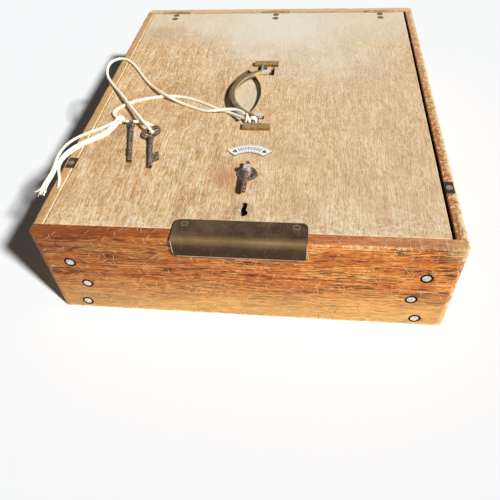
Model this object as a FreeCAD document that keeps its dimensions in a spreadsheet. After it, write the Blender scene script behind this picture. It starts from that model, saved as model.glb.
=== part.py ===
import FreeCAD, Part
import math
import os
import re
import Sketcher

V = FreeCAD.Vector

# Driving sizes of the money box, in millimetres and degrees
SIZES = {
    # case of four boards round a base panel
    "box_width": 304,
    "box_depth": 372,
    "box_height": 86,
    "side_board": 8.5,
    "end_board": 10,
    "base_board": 6,
    "base_rebate": 4,
    "corner_round": 6,
    "arris_round": 2,
    "inner_arris": 0.8,
    "fit_gap": 0.05,
    "nail_radius": 0.9,
    "nail_head_radius": 1.8,
    "nail_head": 1,
    "nail_length": 24,
    "nail_inset": 40,
    # steel angles and rivets in the corners
    "angle_leg": 27,
    "angle_sheet": 1.5,
    "angle_height": 60,
    "rivet_radius": 1.6,
    "rivet_head_radius": 3,
    "rivet_dome": 0.45,
    "rivet_crown": 2.1,
    "rivet_tail_radius": 2.8,
    "rivet_tail": 1.2,
    "rivet_near": 23,
    "rivet_far": 29.4,
    "rivet_low": 9,
    "rivet_middle": 32,
    "rivet_high": 56.5,
    "washer_radius": 4.5,
    "washer_sheet": 1,
    # lid panel, flush between the four boards
    "lid_board": 9,
    "lid_gap_left": 0.7,
    "lid_gap_right": 2.3,
    "lid_gap_front": 0.7,
    "lid_gap_back": 2,
    # hinges in the back gap
    "hinge_inset": 28,
    "hinge_length": 30,
    "hinge_sheet": 1.1,
    "knuckle_radius": 1.75,
    "knuckle_gap": 0.1,
    "knuckle_room": 0.65,
    "pin_radius": 0.8,
    "pin_clearance": 0.05,
    "case_leaf_drop": 24,
    "lid_leaf_reach": 22,
    "hinge_rivet_radius": 1.5,
    "hinge_rivet_head": 3.4,
    "hinge_rivet_near": 5,
    "hinge_rivet_far": 14,
    "hinge_screw_spread": 9,
    "hinge_screw_drop": 15,
    # brass plate over the front edge of the lid
    "plate_width": 94,
    "plate_shift": -0.6,
    "plate_sheet": 1.6,
    "plate_reach": 18.6,
    "plate_drop": 15,
    "plate_bend": 2.6,
    "plate_corner": 4.6,
    "plate_clearance": 0.3,
    "plate_rivet_spread": 39.2,
    "plate_rivet_inset": 4.4,
    "plate_head_radius": 2.4,
    "plate_head": 0.9,
    # common wood screw
    "screw_radius": 1.3,
    "screw_head_radius": 2.4,
    "screw_head": 0.9,
    "screw_length": 7,
    "screw_slot": 0.6,
    "screw_share": 0.6,
    # drop handle with its lugs
    "handle_shift": -0.8,
    "lug_width": 23.5,
    "lug_depth": 7,
    "lug_height": 3.2,
    "lug_span": 100,
    "lug_rivet_radius": 1.4,
    "lug_rivet_spread": 8.2,
    "pivot_shift": -4.6,
    "pivot_height": 1.7,
    "trunnion_radius": 1.3,
    "trunnion_bite": 5,
    "bail_span": 79,
    "bail_reach": 26,
    "bail_shoulder": 0.9,
    "bail_tail": 7.4,
    "bail_bar": 5.6,
    "bail_end_bar": 4.4,
    "bail_sheet": 2.7,
    "tail_room": 0.6,
    "tail_slot": 3.4,
    "trunnion_room": 4.7,
    "trunnion_pocket": 3.2,
    "recess_length": 90,
    "recess_width": 33.4,
    "recess_shift": -18.6,
    "recess_sink": 4.5,
    # turn handle, its bush and crank
    "turn_shift": -2,
    "turn_row": 71.5,
    "turn_swing": 50,
    "rose_radius": 8.2,
    "rose_sheet": 1.4,
    "bush_radius": 5,
    "spindle_radius": 3.4,
    "spindle_neck": 2.9,
    "turn_clearance": 0.06,
    "boss_lip": 0.72,
    "boss_crown": 2.8,
    "boss_height": 8,
    "bar_height": 4.7,
    "bar_radius": 1.8,
    "bar_front": 26.2,
    "bar_back": 9.6,
    "bar_pin_radius": 0.6,
    "crank_radius": 9,
    "crank_disc": 13,
    "crank_sheet": 3,
    "crank_pin": 2,
    "nut_radius": 5.2,
    "nut_height": 2.6,
    # two bolts that the crank throws into the side boards
    "bolt_width": 10,
    "bolt_sheet": 4,
    "bolt_sink": 3,
    "bolt_setback": 1.5,
    "bolt_slot_gap": 0.25,
    "bolt_end": 6,
    "slide_gap": 0.15,
    "guide_inner": 38,
    "guide_inset": 21.5,
    "guide_length": 9,
    "guide_wall": 2.4,
    "guide_flange": 6.5,
    "guide_sheet": 1.4,
    "strike_sheet": 1.5,
    "strike_length": 13,
    "strike_drop": 25,
    "mortise_gap": 0.6,
    "mortise_sink": 6.6,
    # key lock under the lid
    "lock_shift": -0.4,
    "lock_setback": 3.5,
    "lock_width": 42,
    "lock_length": 42,
    "lock_height": 12.5,
    "lock_sheet": 1.5,
    "lock_flange": 6,
    "lock_bolt_width": 12,
    "lock_bolt_sheet": 5,
    "lock_bolt_head": 9.8,
    "lock_bolt_arm": 2,
    "lock_bolt_tail": 4,
    "lock_bolt_reach": 26,
    "lock_throw": 8,
    "lock_strike_width": 30,
    "lock_strike_height": 15,
    "lock_mortise": 5.6,
    "keyhole_inset": 18.5,
    "keyhole_radius": 3.3,
    "keyhole_waist": 1.5,
    "keyhole_top": 2.4,
    "keyhole_rise": 8.6,
    "drill_pin_radius": 1,
    # curved label behind the turn handle
    "label_shift": -3,
    "label_row": 83.5,
    "label_outer": 24.4,
    "label_inner": 14.6,
    "label_half_angle": 48,
    "label_sheet": 1,
    "label_pin_radius": 0.7,
    "label_pin_head": 1.26,
    "label_pin_angle": 40,
    # pair of pipe keys
    "key_bow_width": 17,
    "key_bow_depth": 12.6,
    "key_bow_rim": 2.4,
    "key_bow_sheet": 2.2,
    "key_stem_radius": 1.65,
    "key_length": 44,
    "key_pipe_radius": 0.95,
    "key_pipe_depth": 12,
    "key_collar_radius": 2.3,
    "key_collar": 2,
    "key_bit_reach": 7.2,
    "key_bit_end": 6,
    "key_bit_length": 9,
    "key_bit_sheet": 1.8,
    "key_ward": 1.2,
    "small_bow_width": 8.4,
    "small_bow_depth": 8,
    "small_bow_rim": 1.7,
    "small_bit_reach": 3.6,
    "small_key_length": 52,
    # cotton string
    "string_radius": 1,
    "hitch_radius": 2.8,
    "bight_radius": 0.8,
    "hitch_pitch": 2.2,
    "hitch_row": 45.5,
    "hitch_lead": 3.2,
    "hitch_depth": 2.8,
    "hitch_height": 2.5,
    "knot_width": 4.4,
    "knot_depth": 3.6,
    "knot_height": 2.9,
}

doc = FreeCAD.newDocument("money_box")
sheet = doc.addObject("Spreadsheet::Sheet", "sizes")
for row, (alias, number) in enumerate(SIZES.items(), 1):
    sheet.set(f"A{row}", alias)
    sheet.set(f"B{row}", str(number))
    sheet.setAlias(f"B{row}", alias)
doc.recompute()

WORD = re.compile(r"\b[a-z]+_[a-z_]+\b")
AXES = "xyz"
NODES = []
names = {}


def bound(expression):
    """The expression with each size's name pointing at its cell."""
    return WORD.sub(lambda word: "sizes." + word.group(), str(expression))


def value(expression):
    """The number that an expression of the sizes comes to."""
    return float(sheet.evalExpression(str(expression)))


def bind(thing, **properties):
    for name, expression in properties.items():
        thing.setExpression(name, bound(expression))


def place(thing, x, y, z):
    for axis, expression in zip(AXES, (x, y, z)):
        thing.setExpression(f"Placement.Base.{axis}", bound(expression))


def new(kind, name):
    names[name] = names.get(name, 0) + 1
    return doc.addObject(kind, f"{name}_{names[name]}")


def node(label, thing):
    """Register a finished sub-part under the label that names its file."""
    thing.Label = label
    NODES.append(thing)
    return thing


def block(name, x, y, z):
    """A box between two limits on each axis."""
    thing = new("Part::Box", name)
    spans = [f"({high}) - ({low})" for low, high in (x, y, z)]
    bind(thing, Length=spans[0], Width=spans[1], Height=spans[2])
    place(thing, x[0], y[0], z[0])
    return thing


def turned(thing, axis, across, start):
    """Stand a round primitive along an axis, at its place across that axis."""
    if axis == "x":
        thing.Placement.Rotation = FreeCAD.Rotation(V(0, 1, 0), 90)
        place(thing, start, *across)
    elif axis == "y":
        thing.Placement.Rotation = FreeCAD.Rotation(V(1, 0, 0), -90)
        place(thing, across[0], start, across[1])
    else:
        place(thing, *across, start)
    return thing


def rod(name, axis, across, along, radius):
    thing = new("Part::Cylinder", name)
    bind(thing, Radius=radius, Height=f"({along[1]}) - ({along[0]})")
    return turned(thing, axis, across, along[0])


def taper(name, axis, across, along, first, last):
    thing = new("Part::Cone", name)
    bind(thing, Radius1=first, Radius2=last, Height=f"({along[1]}) - ({along[0]})")
    return turned(thing, axis, across, along[0])


def ball(name, centre, radius):
    thing = new("Part::Sphere", name)
    bind(thing, Radius=radius)
    place(thing, *centre)
    return thing


def join(name, *pieces):
    thing = new("Part::MultiFuse", name)
    thing.Shapes = list(pieces)
    return thing


def collect(name, *pieces):
    thing = new("Part::Compound", name)
    thing.Links = list(pieces)
    return thing


def cut(name, base, *tools):
    thing = new("Part::Cut", name)
    thing.Base = base
    thing.Tool = tools[0] if len(tools) == 1 else join(name + "_tools", *tools)
    return thing


def mirror(name, source, normal):
    thing = new("Part::Mirroring", name)
    thing.Source = source
    thing.Normal = V(*normal)
    return thing


def rounded(name, base, radius, wanted):
    """Round the edges of a piece that the test picks by their boxes."""
    doc.recompute()
    thing = new("Part::Fillet", name)
    thing.Base = base
    edges = enumerate(base.Shape.Edges, 1)
    thing.Edges = [(index, radius, radius) for index, edge in edges if wanted(edge.BoundBox)]
    return thing


def arc_between(start, end, radius, left):
    """The arc of a circle from start to end that keeps its centre on the left or the right."""
    middle = (start + end) * 0.5
    along = end - start
    side = V(-along.y, along.x, 0).normalize() * (1 if left else -1)
    centre = middle + side * math.sqrt(max(radius**2 - (along.Length / 2) ** 2, 0))
    first, last = (start, end) if left else (end, start)
    angles = [math.atan2(point.y - centre.y, point.x - centre.x) for point in (first, last)]
    if angles[1] <= angles[0]:
        angles[1] += 2 * math.pi
    return Part.ArcOfCircle(Part.Circle(centre, V(0, 0, 1), radius), *angles)


def outline(body, name, role, corners):
    """A closed sketch. A corner is (x, y), or (x, y, radius, left) where an arc goes on to the next one."""
    sketch = body.newObject("Sketcher::SketchObject", name)
    plane = next(part for part in body.Origin.OriginFeatures if part.Role == role)
    sketch.AttachmentSupport = (plane, [""])
    sketch.MapMode = "FlatFace"
    spots = [V(value(corner[0]), value(corner[1]), 0) for corner in corners]
    count = len(corners)
    for index, corner in enumerate(corners):
        start, end = spots[index], spots[(index + 1) % count]
        if len(corner) == 2:
            sketch.addGeometry(Part.LineSegment(start, end), False)
        else:
            sketch.addGeometry(arc_between(start, end, value(corner[2]), corner[3]), False)

    def first(index):
        return 2 if len(corners[index]) == 4 and not corners[index][3] else 1

    for index in range(count):
        after = (index + 1) % count
        meeting = Sketcher.Constraint("Coincident", index, 3 - first(index), after, first(after))
        sketch.addConstraint(meeting)
    for index, corner in enumerate(corners):
        for kind, expression in (("DistanceX", corner[0]), ("DistanceY", corner[1])):
            rule = Sketcher.Constraint(kind, -1, 1, index, first(index), value(expression))
            sketch.setExpression(f"Constraints[{sketch.addConstraint(rule)}]", bound(expression))
        if len(corner) == 4:
            rule = Sketcher.Constraint("Radius", index, value(corner[2]))
            sketch.setExpression(f"Constraints[{sketch.addConstraint(rule)}]", bound(corner[2]))
    return sketch


def padded(name, role, corners, length, at=("0", "0", "0"), reverse=False):
    """A body whose sketched outline is padded to a length, moved to its place."""
    body = new("PartDesign::Body", name)
    pad = body.newObject("PartDesign::Pad", name + "_pad")
    pad.Profile = outline(body, name + "_outline", role, corners)
    pad.Reversed = reverse
    bind(pad, Length=length)
    body.Tip = pad
    place(body, *at)
    return body


def both(sign, low, high):
    """Limits on the positive side of a middle plane, or their mirror image."""
    return (low, high) if sign > 0 else (f"-({high})", f"-({low})")


# Planes that several pieces share
RIGHT, BACK, TOP = "box_width/2", "box_depth/2", "box_height"
IN_X = "(box_width/2 - side_board)"
IN_Y = "(box_depth/2 - end_board)"
LID_LEFT = f"(-{IN_X} + lid_gap_left)"
LID_RIGHT = f"({IN_X} - lid_gap_right)"
LID_FRONT = f"(-{IN_Y} + lid_gap_front)"
LID_BACK = f"({IN_Y} - lid_gap_back)"
LID_UNDER = "(box_height - lid_board)"
BASE_X = "(box_width/2 - side_board + base_rebate)"
BASE_Y = "(box_depth/2 - end_board + base_rebate)"
HINGE_Y = f"({IN_Y} - lid_gap_back/2)"
TURN_X = "turn_shift"
TURN_Y = "(-box_depth/2 + turn_row)"
LOCK_FRONT = f"(-{IN_Y} + lock_setback)"
LOCK_UNDER = f"({LID_UNDER} - lock_height)"
KEY_Y = f"(-{IN_Y} + keyhole_inset)"
BOLT_TOP = f"({LID_UNDER} - bolt_sink)"
BOLT_UNDER = f"({BOLT_TOP} - bolt_sheet)"
LOCK_BOLT_TOP = f"({LID_UNDER} - lock_sheet - bolt_sink)"
LOCK_BOLT_UNDER = f"({LOCK_BOLT_TOP} - lock_bolt_sheet)"
CRANK_X = "crank_radius*sin(turn_swing/2)"
CRANK_Y = "crank_radius*cos(turn_swing/2)"
PIVOT_X = "pivot_shift"
PIVOT_Z = "(box_height + pivot_height)"
LUG_IN = "lug_span/2"
RIVET_GAP = "rivet_radius + fit_gap"

# How far a rounding may go, as a share of a board's thickness
ROUND_SHARE = 0.45
arris = min(value("arris_round"), ROUND_SHARE * value("side_board"))
soft = min(value("inner_arris"), ROUND_SHARE * value("side_board") - arris / 2)
corner = min(value("corner_round"), 2 * ROUND_SHARE * value("end_board"))
top, half_width, half_depth = value(TOP), value(RIGHT), value(BACK)
inner_x, inner_y = value(IN_X), value(IN_Y)
NEAR = 0.01


def near(a, b):
    return abs(a - b) < NEAR


def level(box):
    """An edge that runs along the top or the bottom of a board."""
    return near(box.ZMin, box.ZMax) and (near(box.ZMin, 0) or near(box.ZMin, top))


# Rivets, washers and their holes in one corner, at the back on the right
def corner_spots():
    """Where the rivets go through the two boards: axis, across, outer face, inner face."""
    rows = (("rivet_near", "rivet_low"), ("rivet_far", "rivet_middle"), ("rivet_near", "rivet_high"))
    for inset, height in rows:
        yield "y", (f"{RIGHT} - {inset}", height), BACK, f"({IN_Y} - angle_sheet)"
        yield "x", (f"{BACK} - {inset}", height), RIGHT, f"({IN_X} - angle_sheet)"


def rivet(axis, across, outer, inner):
    shank = rod("rivet_shank", axis, across, (inner, outer), "rivet_radius")
    proud = (outer, f"{outer} + rivet_dome")
    head = rod("rivet_head", axis, across, (f"{outer} - washer_sheet", outer), "rivet_head_radius")
    dome = taper("rivet_dome", axis, across, proud, "rivet_head_radius", "rivet_crown")
    tail = rod("rivet_tail", axis, across, (f"{inner} - rivet_tail", inner), "rivet_tail_radius")
    return join("rivet", shank, head, dome, tail)


def washer(axis, across, outer, inner):
    seat = (f"{outer} - washer_sheet", outer)
    ring = rod("washer_ring", axis, across, seat, "washer_radius")
    return cut("washer", ring, rod("washer_bore", axis, across, seat, "rivet_head_radius + fit_gap"))


def rivet_hole(axis, across, outer, inner):
    bore = rod("rivet_bore", axis, across, (inner, outer), RIVET_GAP)
    seat = (f"{outer} - washer_sheet", outer)
    return join("rivet_hole", bore, rod("washer_seat", axis, across, seat, "washer_radius + fit_gap"))


def four_corners(name, piece):
    """A piece at the back right corner and its mirror images in the other three."""
    left = mirror(name + "_left", piece, (1, 0, 0))
    return piece, left, mirror(name + "_front", piece, (0, 1, 0)), mirror(name + "_far", left, (0, 1, 0))


spots = list(corner_spots())
rivets = four_corners("corner_rivets", collect("corner_rivets", *[rivet(*spot) for spot in spots]))
washers = four_corners("corner_washers", collect("corner_washers", *[washer(*spot) for spot in spots]))
holes = four_corners("corner_holes", join("corner_holes", *[rivet_hole(*spot) for spot in spots]))
all_holes = collect("all_corner_holes", *holes)
node("corner_rivets", collect("rivet_set", *rivets))
node("rivet_washers", collect("washer_set", *washers))

angle_z = ("base_board", "base_board + angle_height")
angle_legs = [(f"{inside} - angle_leg", inside) for inside in (IN_X, IN_Y)]
angle_sheets = [(f"{inside} - angle_sheet", inside) for inside in (IN_X, IN_Y)]
angle_end = block("angle_end_leg", angle_legs[0], angle_sheets[1], angle_z)
angle_side = block("angle_side_leg", angle_sheets[0], angle_legs[1], angle_z)
angle = cut("angle", join("angle_legs", angle_end, angle_side), holes[0])
CORNERS = ("back_right", "back_left", "front_right", "front_left")
for label, piece in zip(CORNERS, four_corners("angle", angle)):
    node("corner_angle_" + label, piece)

# Base panel in a rebate, nailed from below
base_z = ("0", "base_board")
base_room = block("base_room", (f"-{BASE_X}", BASE_X), (f"-{BASE_Y}", BASE_Y), base_z)
side_line, end_line = f"({IN_X} + base_rebate/2)", f"({IN_Y} + base_rebate/2)"
nail_spots = [(f"{x}*{side_line}", f"{y}*({IN_Y} - nail_inset)") for x in (-1, 1) for y in (-1, 0, 1)]
nail_spots += [(f"{x}*({IN_X} - nail_inset)", f"{y}*{end_line}") for x in (-1, 1) for y in (-1, 1)]


def nail(spot, gap):
    shank = rod("nail_shank", "z", spot, ("0", "nail_length"), f"nail_radius + {gap}")
    return join("nail", shank, rod("nail_head", "z", spot, ("0", "nail_head"), f"nail_head_radius + {gap}"))


node("base_nails", collect("nail_set", *[nail(spot, "0") for spot in nail_spots]))
nail_holes = collect("nail_holes", *[nail(spot, "fit_gap") for spot in nail_spots])
base_blank = block("base_blank", (f"-{BASE_X}", BASE_X), (f"-{BASE_Y}", BASE_Y), base_z)
node("base_panel", cut("base_panel", base_blank, nail_holes))


# Wood screws with a slotted flat head, driven along an axis from a face
def screw(axis, across, face, inward, length="screw_length"):
    tip = f"{face} + ({inward})*({length})"
    under = f"{face} + ({inward})*screw_head"
    slot_deep = f"{face} + ({inward})*screw_head/2"
    ends = [(face, tip), (face, under), (face, slot_deep)]
    if inward < 0:
        ends = [(last, first) for first, last in ends]
    shank = rod("screw_shank", axis, across, ends[0], "screw_radius")
    head = rod("screw_head", axis, across, ends[1], "screw_head_radius")
    wide = [(f"{spot} - screw_head_radius", f"{spot} + screw_head_radius") for spot in across]
    thin = (f"{across[1]} - screw_slot/2", f"{across[1]} + screw_slot/2")
    limits = {"x": (ends[2], wide[0], thin), "y": (wide[0], ends[2], thin), "z": (wide[0], thin, ends[2])}
    return cut("screw", join("screw_blank", shank, head), block("screw_slot", *limits[axis]))


def screw_hole(axis, across, face, inward, length="screw_length"):
    tip = f"{face} + ({inward})*({length} + fit_gap)"
    under = f"{face} + ({inward})*(screw_head + fit_gap)"
    ends = [(face, tip), (face, under)]
    if inward < 0:
        ends = [(last, first) for first, last in ends]
    bore = rod("screw_bore", axis, across, ends[0], "screw_radius + fit_gap")
    return join("screw_hole", bore, rod("screw_sink", axis, across, ends[1], "screw_head_radius + fit_gap"))


# Strike plates that the two bolts enter, let into the side boards
def strike(sign, row):
    """The plate, its two screws and the room that it, its screws and the bolt take up in the board."""
    label = "right" if sign > 0 else "left"
    ends = (f"{row} - strike_length/2", f"{row} + strike_length/2")
    flange_x = both(sign, IN_X, f"{RIGHT} - arris_round")
    web_x = both(sign, IN_X, f"{IN_X} + strike_sheet")
    bolt_y = (f"{row} - bolt_width/2 - mortise_gap", f"{row} + bolt_width/2 + mortise_gap")
    bolt_z = (f"{BOLT_UNDER} - mortise_gap", f"{BOLT_TOP} + mortise_gap")
    deep_x = both(sign, IN_X, f"{IN_X} + mortise_sink")
    flange = block(label + "_strike_flange", flange_x, ends, (f"{TOP} - strike_sheet", TOP))
    web = block(label + "_strike_web", web_x, ends, (f"{TOP} - strike_drop", TOP))
    plate = join(label + "_strike_blank", flange, web)
    mortise = block(label + "_mortise", deep_x, bolt_y, bolt_z)
    low = f"{TOP} - strike_drop + screw_head_radius + guide_sheet"
    drives = [
        ("z", (f"{sign}*({IN_X} + side_board/2 - arris_round/2)", row), TOP, -1),
        ("x", (row, low), f"{sign}*{IN_X}", sign, "side_board*screw_share"),
    ]
    drive_holes = [screw_hole(*drive) for drive in drives]
    finished = node(label + "_strike_plate", cut(label + "_strike", plate, mortise, *drive_holes))
    room = join(label + "_strike_room", plate, mortise, *drive_holes)
    return finished, [screw(*drive) for drive in drives], room


LEFT_ROW, RIGHT_ROW = f"({TURN_Y} + crank_radius)", f"({TURN_Y} - crank_radius)"
left_strike, left_drives, left_room = strike(-1, LEFT_ROW)
right_strike, right_drives, right_room = strike(1, RIGHT_ROW)


# Side boards between the end boards
def side(label, sign, room):
    blank = block(label, both(sign, IN_X, RIGHT), (f"-{IN_Y}", IN_Y), ("0", TOP))

    def outer_edge(box):
        return level(box) and near(box.XMin, sign * half_width) and near(box.XMin, box.XMax)

    def inner_edge(box):
        return near(box.ZMin, top) and near(box.ZMax, top) and near(box.XMin, sign * inner_x)

    outside = rounded(label + "_worn", blank, arris, outer_edge)
    inside = rounded(label + "_eased", outside, soft, inner_edge)
    return node(label, cut(label, inside, base_room, nail_holes, all_holes, room))


side("left_side", -1, left_room)
side("right_side", 1, right_room)

# Lock strike let into the inner face of the front board
STRIKE_Z = f"({LOCK_BOLT_UNDER} + lock_bolt_sheet/2)"
lock_strike_x = ("lock_shift - lock_strike_width/2", "lock_shift + lock_strike_width/2")
lock_strike_z = (f"{STRIKE_Z} - lock_strike_height/2", f"{STRIKE_Z} + lock_strike_height/2")
lock_strike_y = (f"-{IN_Y} - strike_sheet", f"-{IN_Y}")
lock_strike_blank = block("lock_strike", lock_strike_x, lock_strike_y, lock_strike_z)
lock_mortise = block(
    "lock_mortise",
    ("lock_shift - lock_bolt_width/2 - mortise_gap", "lock_shift + lock_bolt_width/2 + mortise_gap"),
    (f"-{IN_Y} - lock_mortise", f"-{IN_Y}"),
    (f"{LOCK_BOLT_UNDER} - mortise_gap", f"{LOCK_BOLT_TOP} + mortise_gap"),
)
lock_strike_spread = "(lock_bolt_width + lock_strike_width)/4 + mortise_gap/2"
lock_strike_spots = [f"lock_shift + ({end})*({lock_strike_spread})" for end in (-1, 1)]
lock_strike_drives = [
    ("y", (spot, STRIKE_Z), f"-{IN_Y}", -1, "end_board*screw_share") for spot in lock_strike_spots
]
lock_strike_holes = [screw_hole(*drive) for drive in lock_strike_drives]
node("lock_strike", cut("lock_strike", lock_strike_blank, lock_mortise, *lock_strike_holes))
case_screws = [*left_drives, *right_drives, *[screw(*drive) for drive in lock_strike_drives]]

# Hinges: a leaf on the back board, a cranked leaf under the lid and a pin
HINGE_X = (f"-({IN_X} - hinge_inset)", "0", f"({IN_X} - hinge_inset)")
KNUCKLE = "hinge_length/3"
hinge_case_holes = []
hinge_lid_holes = []
lid_rivets = []
for number, middle in enumerate(HINGE_X, 1):
    name = f"hinge_{number}"
    ends = (f"{middle} - hinge_length/2", f"{middle} + hinge_length/2")
    centre = (f"{middle} - {KNUCKLE}/2 + knuckle_gap", f"{middle} + {KNUCKLE}/2 - knuckle_gap")
    first = (ends[0], f"{middle} - {KNUCKLE}/2 - knuckle_gap")
    last = (f"{middle} + {KNUCKLE}/2 + knuckle_gap", ends[1])
    axle = (HINGE_Y, TOP)
    bore = rod(name + "_bore", "x", axle, ends, "pin_radius + pin_clearance")
    case_y = (IN_Y, f"{IN_Y} + hinge_sheet")
    case_z = (f"{TOP} - case_leaf_drop", f"{TOP} - knuckle_radius - knuckle_room")
    case_plate = block(name + "_case_plate", ends, case_y, case_z)
    case_ears = [block(name + "_case_ear", span, case_y, (case_z[1], TOP)) for span in (first, last)]
    case_curls = [rod(name + "_case_curl", "x", axle, span, "knuckle_radius") for span in (first, last)]
    drop = f"{TOP} - hinge_screw_drop"
    drives = [("y", (f"{middle} + ({end})*hinge_screw_spread", drop), IN_Y, 1) for end in (-1, 1)]
    drive_holes = [screw_hole(*drive) for drive in drives]
    case_leaf = join(name + "_case_leaf", case_plate, *case_ears, *case_curls)
    node(name + "_case_leaf", cut(name + "_case_leaf", case_leaf, bore, *drive_holes))
    case_screws += [screw(*drive) for drive in drives]
    lid_y = (f"{LID_BACK} - hinge_sheet", LID_BACK)
    lid_web = block(name + "_lid_web", centre, lid_y, (f"{LID_UNDER} - hinge_sheet", TOP))
    lid_flat_y = (f"{LID_BACK} - lid_leaf_reach", LID_BACK)
    lid_flat = block(name + "_lid_flat", centre, lid_flat_y, (f"{LID_UNDER} - hinge_sheet", LID_UNDER))
    lid_curl = rod(name + "_lid_curl", "x", axle, centre, "knuckle_radius")
    rows = [f"{LID_BACK} - {row}" for row in ("hinge_rivet_near", "hinge_rivet_far")]
    rivet_z = (f"{LID_UNDER} - hinge_sheet", TOP)
    head_z = (f"{TOP} - rivet_dome", TOP)
    bore_radius = "hinge_rivet_radius + fit_gap"
    for row in rows:
        shank = rod(name + "_rivet_shank", "z", (middle, row), rivet_z, "hinge_rivet_radius")
        head = rod(name + "_rivet_head", "z", (middle, row), head_z, "hinge_rivet_head")
        tail = taper(
            name + "_rivet_tail",
            "z",
            (middle, row),
            (f"{rivet_z[0]} - rivet_tail", rivet_z[0]),
            "hinge_rivet_radius",
            "hinge_rivet_head",
        )
        lid_rivets.append(join(name + "_rivet", shank, head, tail))
        wide = rod(name + "_rivet_bore", "z", (middle, row), rivet_z, bore_radius)
        seat = rod(name + "_rivet_seat", "z", (middle, row), head_z, "hinge_rivet_head + fit_gap")
        hinge_lid_holes.append(join(name + "_rivet_hole", wide, seat))
    leaf_bores = [rod(name + "_leaf_bore", "z", (middle, row), rivet_z, bore_radius) for row in rows]
    lid_leaf = join(name + "_lid_leaf", lid_web, lid_flat, lid_curl)
    node(name + "_lid_leaf", cut(name + "_lid_leaf", lid_leaf, bore, *leaf_bores))
    node(name + "_pin", rod(name + "_pin", "x", axle, ends, "pin_radius"))
    room_x = (f"{ends[0]} - knuckle_gap", f"{ends[1]} + knuckle_gap")
    room_z = (f"{TOP} - knuckle_radius - knuckle_room", TOP)
    case_room_y = (IN_Y, f"{HINGE_Y} + knuckle_radius + knuckle_room")
    case_room = block(name + "_case_room", room_x, case_room_y, room_z)
    lid_room_y = (f"{HINGE_Y} - knuckle_radius - knuckle_room", LID_BACK)
    lid_room = block(name + "_lid_room", room_x, lid_room_y, room_z)
    web_room = block(name + "_web_room", centre, lid_y, (LID_UNDER, TOP))
    hinge_case_holes += [case_plate, case_room, *drive_holes]
    hinge_lid_holes += [lid_room, web_room]
node("case_screws", collect("case_screws", *case_screws))
node("hinge_lid_rivets", collect("hinge_lid_rivets", *lid_rivets))


# End boards across the full width, with rounded corners and worn edges
def end(label, sign, *rooms):
    face, inner = sign * half_depth, sign * inner_y
    blank = block(label, (f"-{RIGHT}", RIGHT), both(sign, IN_Y, BACK), ("0", TOP))

    def upright(box):
        return near(box.YMin, face) and near(box.YMax, face) and box.ZLength > top / 2

    def worn_edge(box):
        return level(box) and not (near(box.YMin, inner) and near(box.YMax, inner))

    turned_corners = rounded(label + "_corners", blank, corner, upright)
    outside = rounded(label + "_worn", turned_corners, arris, worn_edge)
    return node(label, cut(label, outside, base_room, nail_holes, all_holes, *rooms))


end("front_board", -1, lock_strike_blank, lock_mortise, *lock_strike_holes)
end("back_board", 1, *hinge_case_holes)

# Brass plate bent over the front edge of the lid and the front board
PLATE_FRONT = f"(-{BACK} - plate_clearance - plate_sheet)"
PLATE_BACK = f"(-{IN_Y} + plate_reach - end_board)"
PLATE_TOP = "(box_height + plate_sheet)"
plate_profile = [
    (f"{PLATE_FRONT} + plate_sheet", f"{TOP} - plate_drop"),
    (f"{PLATE_FRONT} + plate_sheet", TOP),
    (PLATE_BACK, TOP),
    (PLATE_BACK, PLATE_TOP),
    (f"{PLATE_FRONT} + plate_bend", PLATE_TOP, "plate_bend", True),
    (PLATE_FRONT, f"{PLATE_TOP} - plate_bend"),
    (PLATE_FRONT, f"{TOP} - plate_drop"),
]
plate_at = ("plate_shift - plate_width/2", "0", "0")
plate_body = padded("edge_plate", "YZ_Plane", plate_profile, "plate_width", plate_at)
PLATE_ROW = f"({PLATE_BACK} - plate_rivet_inset)"
plate_spots = [f"plate_shift + ({end})*plate_rivet_spread" for end in (-1, 1)]
plate_heads = (f"{PLATE_TOP} - plate_head", PLATE_TOP)
plate_shanks = (f"{TOP} - screw_length", PLATE_TOP)


def plate_rivet(spot, gap):
    shank = rod("plate_rivet_shank", "z", (spot, PLATE_ROW), plate_shanks, f"screw_radius + {gap}")
    head = rod("plate_rivet_head", "z", (spot, PLATE_ROW), plate_heads, f"plate_head_radius + {gap}")
    return join("plate_rivet", shank, head)


plate_holes = [plate_rivet(spot, "fit_gap") for spot in plate_spots]
plate_finished = cut("edge_plate", plate_body, *plate_holes)


def plate_corner(box):
    """A short edge through the sheet, at the plate's back or at its lower rim."""
    lengths = sorted((box.XLength, box.YLength, box.ZLength))
    through = near(lengths[1], 0) and near(lengths[2], value("plate_sheet"))
    return through and (near(box.YMin, value(PLATE_BACK)) or near(box.ZMax, value(f"{TOP} - plate_drop")))


plate_round = min(value("plate_corner"), value("plate_drop") / 3, value("plate_reach") / 4)
node("edge_plate", rounded("edge_plate_corners", plate_finished, plate_round, plate_corner))
node("edge_plate_rivets", collect("edge_plate_rivets", *[plate_rivet(spot, "0") for spot in plate_spots]))

# Lugs of the drop handle, riveted to the lid
lug_x = ("handle_shift - lug_width/2", "handle_shift + lug_width/2")
lug_z = (TOP, "box_height + lug_height")
lug_holes = []
lug_rivets = []
lid_lug_holes = []
lug_ease = min(soft, ROUND_SHARE * value("lug_height"))


def lug_brim(box):
    return near(box.ZMin, value(lug_z[1])) and near(box.ZLength, 0)


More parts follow.
